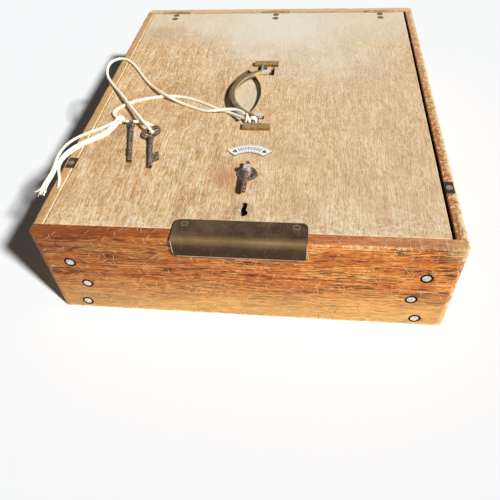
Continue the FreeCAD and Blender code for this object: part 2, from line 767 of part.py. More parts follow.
for label, sign in (("front", -1), ("back", 1)):
    lug_y = both(sign, LUG_IN, f"{LUG_IN} + lug_depth")
    blank = block(label + "_lug", lug_x, lug_y, lug_z)
    bearing = both(sign, LUG_IN, f"{LUG_IN} + trunnion_bite + fit_gap")
    bearing_radius = "trunnion_radius + turn_clearance"
    bearing_bore = rod(label + "_lug_bearing", "y", (PIVOT_X, PIVOT_Z), bearing, bearing_radius)
    bores = []
    for end_sign in (-1, 1):
        spot = (f"handle_shift + ({end_sign})*lug_rivet_spread", f"{sign}*({LUG_IN} + lug_depth/2)")
        full = (LID_UNDER, lug_z[1])
        tail = (f"{LID_UNDER} - rivet_tail", LID_UNDER)
        shank = rod("lug_rivet_shank", "z", spot, full, "lug_rivet_radius")
        spread_end = rod("lug_rivet_tail", "z", spot, tail, "hinge_rivet_head")
        lug_rivets.append(join("lug_rivet", shank, spread_end))
        bores.append(rod("lug_rivet_bore", "z", spot, full, "lug_rivet_radius + fit_gap"))
    eased = rounded(label + "_lug_eased", blank, lug_ease, lug_brim)
    node(f"{label}_handle_lug", cut(label + "_handle_lug", eased, bearing_bore, *bores))
    lid_lug_holes += bores
node("lug_rivets", collect("lug_rivets", *lug_rivets))

# Flat curved bail between the lugs, turning on its trunnions
BAIL_Y = "(bail_span/2)"
BAIL_LEFT = "(pivot_shift - bail_reach)"
BAIL_BEND = "(pivot_shift - bail_shoulder)"
OUTER_SAG = f"({BAIL_BEND} - {BAIL_LEFT})"
OUTER_R = f"(({OUTER_SAG}*{OUTER_SAG} + {BAIL_Y}*{BAIL_Y})/(2*{OUTER_SAG}))"
INNER_Y = f"({BAIL_Y} - bail_end_bar)"
INNER_SAG = f"({OUTER_SAG} - bail_bar)"
INNER_R = f"(({INNER_SAG}*{INNER_SAG} + {INNER_Y}*{INNER_Y})/(2*{INNER_SAG}))"
BAIL_END = "(pivot_shift + bail_tail)"
bail_outline = [
    (BAIL_END, f"-{BAIL_Y}"),
    (BAIL_END, f"-{INNER_Y}"),
    (BAIL_BEND, f"-{INNER_Y}", INNER_R, False),
    (BAIL_BEND, INNER_Y),
    (BAIL_END, INNER_Y),
    (BAIL_END, BAIL_Y),
    (BAIL_BEND, BAIL_Y, OUTER_R, True),
    (BAIL_BEND, f"-{BAIL_Y}"),
]
bail_at = ("0", "0", f"{PIVOT_Z} - bail_sheet/2")
bail_bar = padded("bail_bar", "XY_Plane", bail_outline, "bail_sheet", bail_at)
trunnion_ends = (f"{BAIL_Y} - bail_end_bar/2", f"({LUG_IN} + trunnion_bite)")
trunnions = [
    rod("trunnion", "y", (PIVOT_X, PIVOT_Z), both(sign, *trunnion_ends), "trunnion_radius")
    for sign in (-1, 1)
]
node("bail_handle", join("bail_handle", bail_bar, *trunnions))

# Rooms in the lid: finger recess, tail pockets and trunnion pockets of the bail
LENS_Y, LENS_X = "recess_length/2", "recess_width/2"
LENS_R = f"(({LENS_X}*{LENS_X} + {LENS_Y}*{LENS_Y})/(2*{LENS_X}))"
lens = padded(
    "finger_recess",
    "XY_Plane",
    [("recess_shift", f"-{LENS_Y}", LENS_R, True), ("recess_shift", LENS_Y, LENS_R, True)],
    "recess_sink",
    ("0", "0", f"{TOP} - recess_sink"),
)
TAIL_R = "sqrt(bail_tail*bail_tail + bail_sheet*bail_sheet/4)"
TAIL_START = "pivot_shift - bail_sheet/2 - 2*tail_room"
tail_z = (f"{PIVOT_Z} - {TAIL_R} - tail_room", TOP)
trunnion_x = ("pivot_shift - trunnion_room", "pivot_shift + trunnion_room")
pockets = []
for sign in (-1, 1):
    tail_y = both(sign, f"{INNER_Y} - tail_room", f"{BAIL_Y} + tail_room")
    tail_end = f"pivot_shift + {TAIL_R} + 2*tail_room + tail_slot*({sign} + 1)/2"
    pockets.append(block("tail_pocket", (TAIL_START, tail_end), tail_y, tail_z))
    if sign > 0:
        slot_x, slot_y = (f"{tail_end} - tail_slot", tail_end), (f"{INNER_Y} - tail_room", LUG_IN)
        pockets.append(block("arm_slot", slot_x, slot_y, tail_z))
    trunnion_y = both(sign, BAIL_Y, LUG_IN)
    pockets.append(block("trunnion_pocket", trunnion_x, trunnion_y, (f"{TOP} - trunnion_pocket", TOP)))

# Turn handle: bush and rose in the lid, spindle, crossbar and crank
turn = (TURN_X, TURN_Y)
ROSE_TOP = "(box_height + rose_sheet)"
rose_disc = taper("rose_disc", "z", turn, (TOP, ROSE_TOP), "rose_radius", "rose_radius - rose_sheet/2")
rose_sleeve = rod("rose_sleeve", "z", turn, (LID_UNDER, TOP), "bush_radius")
rose_bore = rod("rose_bore", "z", turn, (LID_UNDER, ROSE_TOP), "spindle_radius + turn_clearance")
node("turn_rose", cut("turn_rose", join("turn_rose", rose_disc, rose_sleeve), rose_bore))
bush_hole = rod("bush_hole", "z", turn, (LID_UNDER, TOP), "bush_radius + fit_gap")

CRANK_TOP = f"({BOLT_UNDER} - slide_gap)"
CRANK_LOW = f"({CRANK_TOP} - crank_sheet)"
BAR_Z = "(box_height + bar_height)"
BOSS_TOP = "(box_height + boss_height)"
spindle_neck = rod("spindle_neck", "z", turn, (f"{CRANK_LOW} - nut_height", CRANK_TOP), "spindle_neck")
BOSS_LOW = f"({BAR_Z} - bar_radius - boss_lip)"
spindle_stem = rod("spindle_stem", "z", turn, (CRANK_TOP, BOSS_LOW), "spindle_radius")
boss = taper("boss", "z", turn, (BOSS_LOW, BOSS_TOP), "spindle_radius", "boss_crown")
bar_y = (f"{TURN_Y} - bar_front", f"{TURN_Y} + bar_back")
bar_hole = rod("bar_hole", "y", (TURN_X, BAR_Z), bar_y, "bar_radius + fit_gap")
bar_pin_x = ("turn_shift - spindle_radius - rivet_dome", "turn_shift + spindle_radius + rivet_dome")
bar_pin_at = (TURN_Y, BAR_Z)
bar_pin_hole = rod("bar_pin_hole", "x", bar_pin_at, bar_pin_x, "bar_pin_radius + fit_gap")
spindle = join("turn_spindle", spindle_neck, spindle_stem, boss)
node("turn_spindle", cut("turn_spindle", spindle, bar_hole, bar_pin_hole))
bar_stops = (f"{bar_y[0]} + bar_radius", f"{bar_y[1]} - bar_radius")
bar_body = rod("turn_bar", "y", (TURN_X, BAR_Z), bar_stops, "bar_radius")
bar_ends = [ball("bar_end", (TURN_X, spot, BAR_Z), "bar_radius") for spot in bar_stops]
node("turn_bar", cut("turn_bar", join("turn_bar", bar_body, *bar_ends), bar_pin_hole))
node("turn_bar_pin", rod("turn_bar_pin", "x", bar_pin_at, bar_pin_x, "bar_pin_radius"))
crank_plate = rod("crank_plate", "z", turn, (CRANK_LOW, CRANK_TOP), "crank_disc")
crank_bore = rod("crank_bore", "z", turn, (CRANK_LOW, CRANK_TOP), "spindle_neck + fit_gap")
pin_z = (CRANK_LOW, f"{BOLT_TOP} + slide_gap")
pin_spots = [(f"turn_shift + ({sign})*{CRANK_X}", f"{TURN_Y} + ({sign})*{CRANK_Y}") for sign in (-1, 1)]
crank_pins = [rod("crank_pin", "z", spot, pin_z, "crank_pin") for spot in pin_spots]
node("crank", join("crank", cut("crank_plate", crank_plate, crank_bore), *crank_pins))
nut_blank = new("Part::Prism", "nut_blank")
nut_blank.Polygon = 6
bind(nut_blank, Circumradius="nut_radius", Height="nut_height")
place(nut_blank, *turn, f"{CRANK_LOW} - nut_height")
nut_bore = rod("nut_bore", "z", turn, (f"{CRANK_LOW} - nut_height", CRANK_LOW), "spindle_neck + fit_gap")
node("crank_nut", cut("crank_nut", nut_blank, nut_bore))


# Sliding bolts with a cross slot for the crank pin, and their guides under the lid
def bolt(label, sign, row, lid_edge):
    """The bolt reaches from its crank slot to just inside the lid's edge."""
    inner = f"turn_shift - ({sign})*({CRANK_X} + bolt_end)"
    outer = f"{lid_edge} - ({sign})*bolt_setback"
    length = (inner, outer) if sign > 0 else (outer, inner)
    bar = block(label, length, (f"{row} - bolt_width/2", f"{row} + bolt_width/2"), (BOLT_UNDER, BOLT_TOP))
    slot_x = f"turn_shift - ({sign})*{CRANK_X}"
    reach = "crank_pin + bolt_slot_gap"
    middle = f"{TURN_Y} - ({sign})*({CRANK_Y} + crank_radius)/2"
    slot_length = f"((crank_radius - {CRANK_Y})/2 + {reach})"
    slot = block(
        label + "_slot",
        (f"{slot_x} - ({reach})", f"{slot_x} + ({reach})"),
        (f"{middle} - {slot_length}", f"{middle} + {slot_length}"),
        (BOLT_UNDER, BOLT_TOP),
    )
    return node(label, cut(label, bar, slot))


bolt("left_bolt", -1, LEFT_ROW, LID_LEFT)
bolt("right_bolt", 1, RIGHT_ROW, LID_RIGHT)

lid_screws = []
guide_holes = []
for label, sign, row in (("left", -1, LEFT_ROW), ("right", 1, RIGHT_ROW)):
    guides = []
    for station in ("guide_inner", f"({IN_X} - guide_inset)"):
        x = (f"({sign})*{station} - guide_length/2", f"({sign})*{station} + guide_length/2")
        bridge_half = "(bolt_width/2 + slide_gap + guide_wall)"
        flange_half = f"({bridge_half} + guide_flange)"
        bridge_z = (f"{BOLT_UNDER} - slide_gap - guide_sheet", LID_UNDER)
        bridge = block("guide_bridge", x, (f"{row} - {bridge_half}", f"{row} + {bridge_half}"), bridge_z)
        flange_z = (f"{LID_UNDER} - guide_sheet", LID_UNDER)
        flange = block("guide_flange", x, (f"{row} - {flange_half}", f"{row} + {flange_half}"), flange_z)
        tunnel_y = (f"{row} - bolt_width/2 - slide_gap", f"{row} + bolt_width/2 + slide_gap")
        tunnel_z = (f"{BOLT_UNDER} - slide_gap", f"{BOLT_TOP} + slide_gap")
        tunnel = block("guide_tunnel", x, tunnel_y, tunnel_z)
        spread = f"({bridge_half} + guide_flange/2)"
        screw_spots = [(f"({sign})*{station}", f"{row} + ({edge})*{spread}") for edge in (-1, 1)]
        drives = [("z", spot, flange_z[0], 1) for spot in screw_spots]
        drive_holes = [screw_hole(*drive) for drive in drives]
        guides.append(cut("guide", join("guide_blank", bridge, flange), tunnel, *drive_holes))
        lid_screws += [screw(*drive) for drive in drives]
        guide_holes += drive_holes
    node(f"{label}_bolt_guides", collect(label + "_bolt_guides", *guides))

# Key lock under the lid: case, cap, bolt and drill pin
lock_x = ("lock_shift - lock_width/2", "lock_shift + lock_width/2")
lock_y = (LOCK_FRONT, f"{LOCK_FRONT} + lock_length")
lock_z = (LOCK_UNDER, LID_UNDER)
lock_block = block("lock_block", lock_x, lock_y, lock_z)
lock_room = block(
    "lock_room",
    ("lock_shift - lock_width/2 + lock_sheet", "lock_shift + lock_width/2 - lock_sheet"),
    (f"{LOCK_FRONT} + lock_sheet", f"{LOCK_FRONT} + lock_length - lock_sheet"),
    (LOCK_UNDER, f"{LID_UNDER} - lock_sheet"),
)
flange_x = ("lock_shift - lock_width/2 - lock_flange", "lock_shift + lock_width/2 + lock_flange")
lock_flange = block("lock_flange", flange_x, lock_y, (f"{LID_UNDER} - lock_sheet", LID_UNDER))
lock_gate = block(
    "lock_gate",
    ("lock_shift - lock_bolt_width/2 - slide_gap", "lock_shift + lock_bolt_width/2 + slide_gap"),
    (LOCK_FRONT, f"{LOCK_FRONT} + lock_sheet"),
    (f"{LOCK_BOLT_UNDER} - slide_gap", f"{LOCK_BOLT_TOP} + slide_gap"),
)


def keyhole(low, high):
    """Round hole and a slot that widens towards the back, between two heights."""
    rise = f"({KEY_Y} + keyhole_rise)"
    round_hole = rod("keyhole_round", "z", ("lock_shift", KEY_Y), (low, high), "keyhole_radius")
    end_hole = rod("keyhole_end", "z", ("lock_shift", rise), (low, high), "keyhole_top")
    sides = [
        ("lock_shift - keyhole_waist", KEY_Y),
        ("lock_shift + keyhole_waist", KEY_Y),
        ("lock_shift + keyhole_top", rise),
        ("lock_shift - keyhole_top", rise),
    ]
    slot = padded("keyhole_slot", "XY_Plane", sides, f"({high}) - ({low})", ("0", "0", low))
    return join("keyhole", round_hole, end_hole, slot)


lid_keyhole = keyhole(LID_UNDER, TOP)
case_keyhole = keyhole(f"{LID_UNDER} - lock_sheet", LID_UNDER)
lock_columns = [f"lock_shift + ({end})*(lock_width + lock_flange)/2" for end in (-1, 1)]
lock_rows = [f"{LOCK_FRONT} + lock_length/2 + ({end})*lock_length/3" for end in (-1, 1)]
lock_spots = [(column, row) for column in lock_columns for row in lock_rows]
lock_drives = [("z", spot, f"{LID_UNDER} - lock_sheet", 1) for spot in lock_spots]
lock_drive_holes = [screw_hole(*drive) for drive in lock_drives]
lock_shell = join("lock_shell", lock_block, lock_flange)
node("lock_case", cut("lock_case", lock_shell, lock_room, lock_gate, case_keyhole, *lock_drive_holes))
lid_screws += [screw(*drive) for drive in lock_drives]
node("lid_screws", collect("lid_screws", *lid_screws))
cap_z = (f"{LOCK_UNDER} - lock_sheet", LOCK_UNDER)
node("lock_cap", block("lock_cap", lock_x, lock_y, cap_z))
drill_at = ("lock_shift", KEY_Y)
foot_z = (LOCK_UNDER, f"{LOCK_UNDER} + lock_sheet")
pin_foot = rod("drill_pin_foot", "z", drill_at, foot_z, "keyhole_radius")
pin_post = rod("drill_pin_post", "z", drill_at, (LOCK_UNDER, LID_UNDER), "drill_pin_radius")
node("drill_pin", join("drill_pin", pin_foot, pin_post))
bolt_front = f"({LOCK_FRONT} + slide_gap)"
arm_y = (f"{bolt_front} + lock_bolt_head", f"{bolt_front} + lock_bolt_head + lock_bolt_arm")
lock_bolt_z = (LOCK_BOLT_UNDER, LOCK_BOLT_TOP)
lock_head_x = ("lock_shift - lock_bolt_width/2", "lock_shift + lock_bolt_width/2")
tail_out = "(lock_shift + lock_width/2 - 2*lock_sheet)"
lock_head = block("lock_bolt_head", lock_head_x, (bolt_front, arm_y[1]), lock_bolt_z)
lock_arm = block("lock_bolt_arm", (lock_head_x[0], tail_out), arm_y, lock_bolt_z)
tail_y = (arm_y[0], f"{arm_y[0]} + lock_bolt_reach")
lock_tail = block("lock_bolt_tail", (f"{tail_out} - lock_bolt_tail", tail_out), tail_y, lock_bolt_z)
node("lock_bolt", join("lock_bolt", lock_head, lock_arm, lock_tail))

# Curved label plate behind the turn handle
LABEL_Y = "(-box_depth/2 + label_row)"


def polar(radius, angle, sign):
    return f"label_shift + ({sign})*{radius}*sin({angle})", f"{LABEL_Y} + {radius}*cos({angle})"


label_outline = [
    (*polar("label_outer", "label_half_angle", 1), "label_outer", True),
    polar("label_outer", "label_half_angle", -1),
    (*polar("label_inner", "label_half_angle", -1), "label_inner", False),
    polar("label_inner", "label_half_angle", 1),
]
label_body = padded("label_plate", "XY_Plane", label_outline, "label_sheet", ("0", "0", TOP))
LABEL_MID = "((label_outer + label_inner)/2)"
label_top = "(box_height + label_sheet)"
label_pins = []
label_holes = []
for sign in (-1, 1):
    spot = polar(LABEL_MID, "label_pin_angle", sign)
    deep = (f"{TOP} - screw_length", label_top)
    shank = rod("label_pin_shank", "z", spot, deep, "label_pin_radius")
    dome_z = (label_top, f"{label_top} + rivet_dome")
    dome = taper("label_pin_dome", "z", spot, dome_z, "label_pin_head", "label_pin_radius")
    label_pins.append(join("label_pin", shank, dome))
    label_holes.append(rod("label_pin_hole", "z", spot, deep, "label_pin_radius + fit_gap"))
node("label_plate", cut("label_plate", label_body, *label_holes))
node("label_pins", collect("label_pins", *label_pins))

# Lid panel with every room and hole that its fittings need
lid_blank = block("lid_panel", (LID_LEFT, LID_RIGHT), (LID_FRONT, LID_BACK), (LID_UNDER, TOP))
lid_ease = min(soft, ROUND_SHARE * value("lid_board"))


def lid_brim(box):
    return near(box.ZMin, top) and near(box.ZMax, top)


lid_eased = rounded("lid_eased", lid_blank, lid_ease, lid_brim)
lid_rooms = [lens, *pockets, lid_keyhole, bush_hole, *hinge_lid_holes, *lid_lug_holes]
lid_drills = [*guide_holes, *lock_drive_holes, *label_holes, *plate_holes]
node("lid_panel", cut("lid_panel", cut("lid_rooms", lid_eased, *lid_rooms), *lid_drills))


# Pipe keys, each drawn flat with its bow at the origin and its stem towards the front
def stadium(name, width, depth):
    """A slot shape as thick as a key's bow, wider than deep, round its own middle."""
    flat, half = f"({width} - ({depth}))/2", f"({depth})/2"
    thick = ("-key_bow_sheet/2", "key_bow_sheet/2")
    rounds = [rod(name + "_round", "z", (f"{sign}*{flat}", "0"), thick, half) for sign in (-1, 1)]
    return join(name, block(name + "_flat", (f"-{flat}", flat), (f"-{half}", half), thick), *rounds)


def key(label, form, spot, yaw, tilt, twist):
    """A key by the middle of its bow above the lid: heading, stem's tip down, and turn about the stem."""
    width, depth, rim, length, reach = form
    bow = stadium(label + "_bow", width, depth)
    hole = stadium(label + "_hole", f"({width} - 2*{rim})", f"({depth} - 2*{rim})")
    start = f"-({depth}/2 - {rim}/2)"
    stem = rod(label + "_stem", "y", ("0", "0"), (f"-{length}", start), "key_stem_radius")
    collar_y = (f"-{depth}/2 - key_collar", f"-{depth}/2")
    collar = rod(label + "_collar", "y", ("0", "0"), collar_y, "key_collar_radius")
    bit_y = (f"-{length} + key_bit_end", f"-{length} + key_bit_end + key_bit_length")
    bit_z = ("-key_bit_sheet/2", "key_bit_sheet/2")
    bit = block(label + "_bit", ("0", reach), bit_y, bit_z)
    pipe_y = (f"-{length}", f"-{length} + key_pipe_depth")
    pipe = rod(label + "_pipe", "y", ("0", "0"), pipe_y, "key_pipe_radius")
    ward_x = (f"{reach}/2 + key_stem_radius/2", reach)
    ward_mid = f"-{length} + key_bit_end + key_bit_length/2"
    ward = block(label + "_ward", ward_x, (f"{ward_mid} - key_ward/2", f"{ward_mid} + key_ward/2"), bit_z)
    blank = join(label + "_blank", cut(label + "_ring", bow, hole), stem, collar, bit)
    finished = cut(label, blank, pipe, ward)
    turns = ((0, 0, 1), yaw), ((1, 0, 0), tilt), ((0, 1, 0), twist)
    heading, dip, spin = [FreeCAD.Rotation(V(*axis), angle) for axis, angle in turns]
    finished.Placement = FreeCAD.Placement(V(*spot), heading * dip * spin)
    finished.setExpression("Placement.Base.z", bound(f"{TOP} + {spot[2]}"))
    return node(label, finished)


# The smaller key stands on the edge of its narrow bow, held by the string; the other lies on its side
SMALL_KEY = ("small_bow_width", "small_bow_depth", "small_bow_rim", "small_key_length", "small_bit_reach")
BROAD_KEY = ("key_bow_width", "key_bow_depth", "key_bow_rim", "key_length", "key_bit_reach")
key("key_1", SMALL_KEY, spot=(-108.6, -53.4, 4.4), yaw=11.8, tilt=2.9, twist=-75)
key("key_2", BROAD_KEY, spot=(-88.2, -67.6, 4.1), yaw=11.4, tilt=3.1, twist=-16)

# Routes of the string, as points on the lid with heights above it
LOOP = [
    (-10.5, -43.4, 2.6), (-16, -41.2, 1.8), (-22.5, -37.6, 1.1), (-30.5, -33.9, 1.05),
    (-39.5, -31.2, 1.05), (-49, -29.4, 1.05), (-61, -24.2, 1.05), (-73.5, -17.8, 1.4),
    (-85, -12, 3.8), (-97, -1.6, 3.8), (-106.5, 9.6, 1.5), (-117.3, 24.5, 1.05),
    (-128.2, 41.7, 1.05), (-138.2, 56, 1.05), (-146.5, 63.6, 1.05), (-154.5, 65.4, 1.05),
    (-160.8, 60.4, 0.7), (-162.6, 50.6, 0.5), (-158.4, 33, 0.7), (-150.5, 19.5, 1.1),
    (-141, 6, 1.5), (-130, -9.8, 4.5), (-116.5, -29.4, 4.8), (-109.5, -39.4, 5.6),
    (-103.4, -48.4, 6.7), (-97.4, -56.8, 6.9), (-92.8, -62.2, 6.9), (-89.4, -65.6, 5.8),
    (-87.3, -67.4, 3.4),
]
RETURN = [
    (-10.5, -41.2, 2.8), (-15.2, -36.8, 1.8), (-21, -32, 1.1), (-28, -29.2, 1.05),
    (-36, -26.8, 1.05), (-44.2, -22.4, 1.05), (-52.4, -16.9, 1.05), (-62, -11.8, 1.05),
    (-73, -7, 1.05), (-84, -5.8, 1.05), (-95, -7.4, 1.05), (-106.7, -10.4, 1.05),
    (-116.8, -15.2, 1.05), (-124.2, -21.4, 1.05), (-129.8, -27.8, 1.05), (-131.8, -34.4, 1.1),
    (-129, -40.4, 1.6), (-124.6, -45, 2.6),
]
TIE = [
    (-87.4, -67, 2.7), (-87.1, -62.6, 1.15), (-88.6, -57, 1.05), (-92.6, -53, 1.4),
    (-98.4, -51.4, 3), (-103.6, -52.4, 4.3), (-108.6, -53.2, 4.5), (-113.4, -52.4, 4.3),
    (-117.2, -51, 3.9), (-120.4, -49.6, 3.4),
]
END_LONG = [
    (-124, -49.2, 3), (-128.4, -52.8, 1.8), (-134, -57.4, 1.1), (-142.2, -63.4, 1.05),
    (-149.6, -70.4, 1.4), (-154.4, -78, 2.2), (-157.4, -87, 3), (-158.6, -95.8, 3.2),
    (-158.2, -105, 3.2), (-156.8, -114.4, 3), (-156.3, -123.6, 2.6), (-157.4, -131.6, 2.2),
    (-157.7, -138.4, 1.8),
]
END_MIDDLE = [
    (-123.4, -50.4, 2.8), (-126.3, -55.4, 1.4), (-130.2, -63.8, 1.05), (-136, -70.8, 1.05),
    (-143, -76.4, 1.05), (-148.4, -82.8, 1.2), (-152.2, -91.6, 2.4), (-154.2, -101.6, 3.7),
    (-154.6, -110.6, 4), (-154, -119.8, 3.4), (-154.2, -128.4, 2.7), (-155.2, -136.4, 2.1),
]
END_SHORT = [
    (-121.8, -50.4, 2.6), (-123, -55, 1.3), (-126, -63.8, 1.05), (-131.6, -72.2, 1.05),
    (-139.8, -78, 1.05), (-146, -84.8, 1.05), (-150.8, -92.8, 1.05), (-154, -100.4, 1.1),
    (-155, -107.2, 1.1), (-154, -113.6, 1.1), (-151.4, -120.6, 1.05), (-147.8, -128, 1.05),
    (-146.4, -135, 1.05),
]
KNOT_SPOT = ("-121.3", "-48.2")

# Share of the shorter run beside a corner that its arc takes up
BEND_SHARE = 0.45


def bends(points):
    """Each inner point with its arc: start, middle and end, as large as the two runs beside it allow."""
    for before, here, after in zip(points, points[1:], points[2:]):
        back, ahead = before - here, after - here
        half_turn = (math.pi - back.getAngle(ahead)) / 2
        reach = BEND_SHARE * min(back.Length, ahead.Length)
        start = here + back.normalize() * reach
        end = here + ahead.normalize() * reach
        radius = reach / math.tan(half_turn)
        inward = (back + ahead).normalize()
        middle = here + inward * (radius / math.cos(half_turn) - radius)
        yield start, middle, end, radius


def tube(label, route):
    """A round string along straight runs joined by tangent arcs, lying on the lid."""
    points = [V(*spot) for spot in route]
    edges = []
    radii = []
    last = points[0]
    for start, middle, finish, radius in bends(points):
        edges.append(Part.LineSegment(last, start).toShape())
        edges.append(Part.Arc(start, middle, finish).toShape())
        radii.append(radius)
        last = finish
    edges.append(Part.LineSegment(last, points[-1]).toShape())
    path = Part.Wire(edges)
    radius = value("string_radius")
    circle = Part.Wire(Part.makeCircle(radius, points[0], points[1] - points[0]))
    shape = path.makePipeShell([circle], True, False)
    thing = new("Part::Feature", label)
    thing.Shape = shape
    thing.setExpression("Placement.Base.z", bound(TOP))
    share = shape.Volume / (math.pi * radius**2 * path.Length)
    print(f"{label}: length {path.Length:.1f}, least radius {min(radii):.1f}, volume share {share:.4f}")
    return node(label, thing)


tube("string_loop", LOOP)
tube("string_return", RETURN)
tube("string_tie", TIE)
tube("string_end_long", END_LONG)
tube("string_end_middle", END_MIDDLE)
tube("string_end_short", END_SHORT)

# Cow hitch round the bail's front trunnion, and the knot beside the keys
hitch_turns = []
for offset in ("-hitch_pitch/2", "hitch_pitch/2"):
    turn_ring = new("Part::Torus", "hitch_turn")
    bind(turn_ring, Radius1="hitch_radius", Radius2="string_radius")
    turned(turn_ring, "y", (PIVOT_X, PIVOT_Z), f"-hitch_row + {offset}")
    hitch_turns.append(turn_ring)
bight_y = ("-hitch_row - hitch_pitch/2", "-hitch_row + hitch_pitch/2")
bight = rod("hitch_bight", "y", (f"{PIVOT_X} + hitch_radius", PIVOT_Z), bight_y, "bight_radius")


def lump(name, spot, width, depth, height):
    """A knot of string, lying on the lid."""
    thing = new("Part::Ellipsoid", name)
    bind(thing, Radius1=height, Radius2=width, Radius3=depth)
    place(thing, *spot, f"{TOP} + {height} + fit_gap")
    return thing


hitch_spot = ("pivot_shift - 2*hitch_radius", "-hitch_row + hitch_lead")
hitch_knot = lump("hitch_knot", hitch_spot, "knot_width", "hitch_depth", "hitch_height")
node("string_hitch", join("string_hitch", *hitch_turns, bight, hitch_knot))
node("string_knot", lump("string_knot", KNOT_SPOT, "knot_width", "knot_depth", "knot_height"))

# Check every object, then write one file for each sub-part
doc.recompute()
for thing in doc.Objects:
    if "Invalid" in thing.State or "Error" in thing.State:
        raise RuntimeError(f"{thing.Name} ({thing.Label}) failed: {thing.State}")
os.makedirs("parts", exist_ok=True)
for thing in NODES:
    shape = thing.Shape
    if shape.isNull() or not shape.isValid() or not shape.Solids:
        raise RuntimeError(f"{thing.Label} has no valid solid")
    shape.exportStep(f"parts/{thing.Label}.step")
print(len(NODES), "sub-parts written")
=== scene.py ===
"""Looks of a worn wooden money box: boards, brass fittings, turn handle, and two keys on a cotton string."""
import math
import random

import bmesh
import bpy
from mathutils import Matrix, Vector, noise


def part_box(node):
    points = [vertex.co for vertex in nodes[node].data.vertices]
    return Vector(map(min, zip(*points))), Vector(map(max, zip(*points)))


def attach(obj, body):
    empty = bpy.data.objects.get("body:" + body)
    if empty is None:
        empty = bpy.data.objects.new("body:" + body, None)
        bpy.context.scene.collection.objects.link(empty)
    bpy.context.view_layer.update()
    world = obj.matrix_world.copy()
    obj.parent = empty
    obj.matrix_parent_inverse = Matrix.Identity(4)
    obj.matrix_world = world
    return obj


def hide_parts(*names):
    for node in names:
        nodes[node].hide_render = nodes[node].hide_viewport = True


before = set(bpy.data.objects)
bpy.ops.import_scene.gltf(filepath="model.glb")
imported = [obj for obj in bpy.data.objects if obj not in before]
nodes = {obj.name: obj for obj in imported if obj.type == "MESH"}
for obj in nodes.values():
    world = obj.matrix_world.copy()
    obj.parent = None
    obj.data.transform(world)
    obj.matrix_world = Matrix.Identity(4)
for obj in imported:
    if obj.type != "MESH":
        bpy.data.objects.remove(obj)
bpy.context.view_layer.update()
scene = bpy.context.scene
scene.view_settings.view_transform = "Standard"

MM = 0.001
X, Y, Z = 0, 1, 2
TURN = 2 * math.pi

# Sizes of the box in mm: the lid lies flush with the case, and far is well outside
LID_TOP = 86
CASE_LOW = (-152, -186, 0)
CASE_HIGH = (152, 186, LID_TOP)
SIDE_INNER = 143.5
FAR = 900

# Camera, at the viewpoint that fits the box's edges on an image of 500 x 500
FOCAL_PIXELS = 513.73
IMAGE_PIXELS = 500
SENSOR = 36
CAMERA_AT = Vector((45.85, -420.51, 337.69)) * MM
CAMERA_RIGHT = (0.99308, 0.10478, -0.05304)
CAMERA_UP = (-0.04186, 0.7378, 0.67372)
CAMERA_BACK = (0.10973, -0.66684, 0.73708)
camera_data = bpy.data.cameras.new("camera")
camera_data.sensor_width = SENSOR
camera_data.lens = FOCAL_PIXELS * SENSOR / IMAGE_PIXELS
camera_data.clip_start = 0.01
camera = bpy.data.objects.new("camera", camera_data)
camera_turn = Matrix((CAMERA_RIGHT, CAMERA_UP, CAMERA_BACK)).transposed().to_4x4()
camera.matrix_world = Matrix.Translation(CAMERA_AT) @ camera_turn
scene.collection.objects.link(camera)
scene.camera = camera

# Light: one large far lamp from the front right, and an even pale room
LAMP_TOWARDS = Vector((0.62, -0.43, 0.62)).normalized()
LAMP_STRENGTH = 4.65
LAMP_ANGLE = math.radians(5)
ROOM_FILL = 0.035
lamp_data = bpy.data.lights.new("far_lamp", "SUN")
lamp_data.angle = LAMP_ANGLE
lamp_data.energy = LAMP_STRENGTH
lamp = bpy.data.objects.new("far_lamp", lamp_data)
lamp.matrix_world = LAMP_TOWARDS.to_track_quat("Z", "Y").to_matrix().to_4x4()
scene.collection.objects.link(lamp)

MATH = "ShaderNodeMath"
VECTOR = "ShaderNodeVectorMath"
RANGE = "ShaderNodeMapRange"
NOISE = "ShaderNodeTexNoise"
RAMP = "ShaderNodeValToRGB"
SPLIT = "ShaderNodeSeparateXYZ"


def linear(hex_colour):
    """A hex sRGB colour as linear red, green, blue and alpha."""
    parts = [int(hex_colour[i:i + 2], 16) / 255 for i in (1, 3, 5)]
    return [p / 12.92 if p <= 0.04045 else ((p + 0.055) / 1.055) ** 2.4 for p in parts] + [1]


def add(tree, kind, links=None, out=0, stops=None, **settings):
    """Adds a node with its settings, values and links, and returns one of its outputs."""
    node = tree.nodes.new(kind)
    for name, value in settings.items():
        setattr(node, name, value)
    if stops:
        ramp = node.color_ramp.elements
        while len(ramp) < len(stops):
            ramp.new(0.5)
        for element, (place, tone) in zip(ramp, stops):
            element.position = place
            element.color = linear(tone)
    for key, value in (links or {}).items():
        if isinstance(value, bpy.types.NodeSocket):
            tree.links.new(value, node.inputs[key])
        else:
            node.inputs[key].default_value = linear(value) if isinstance(value, str) else value
    return node.outputs[out]


world = bpy.data.worlds.new("pale_room")
scene.world = world
world.use_nodes = True
room = world.node_tree
rays = add(room, "ShaderNodeLightPath").node.outputs
seen = add(room, MATH, {0: rays["Is Camera Ray"], 1: rays["Is Glossy Ray"]}, operation="ADD")
seen = add(room, MATH, {0: seen, 1: rays["Is Transmission Ray"]}, operation="ADD", use_clamp=True)
room_strength = add(room, RANGE, {0: seen, 3: ROOM_FILL, 4: 1.0})
room_light = next(n for n in room.nodes if n.type == "BACKGROUND")
room_light.inputs["Color"].default_value = linear("#ffffff")
room.links.new(room_strength, room_light.inputs["Strength"])


# Patterns, with every size in millimetres

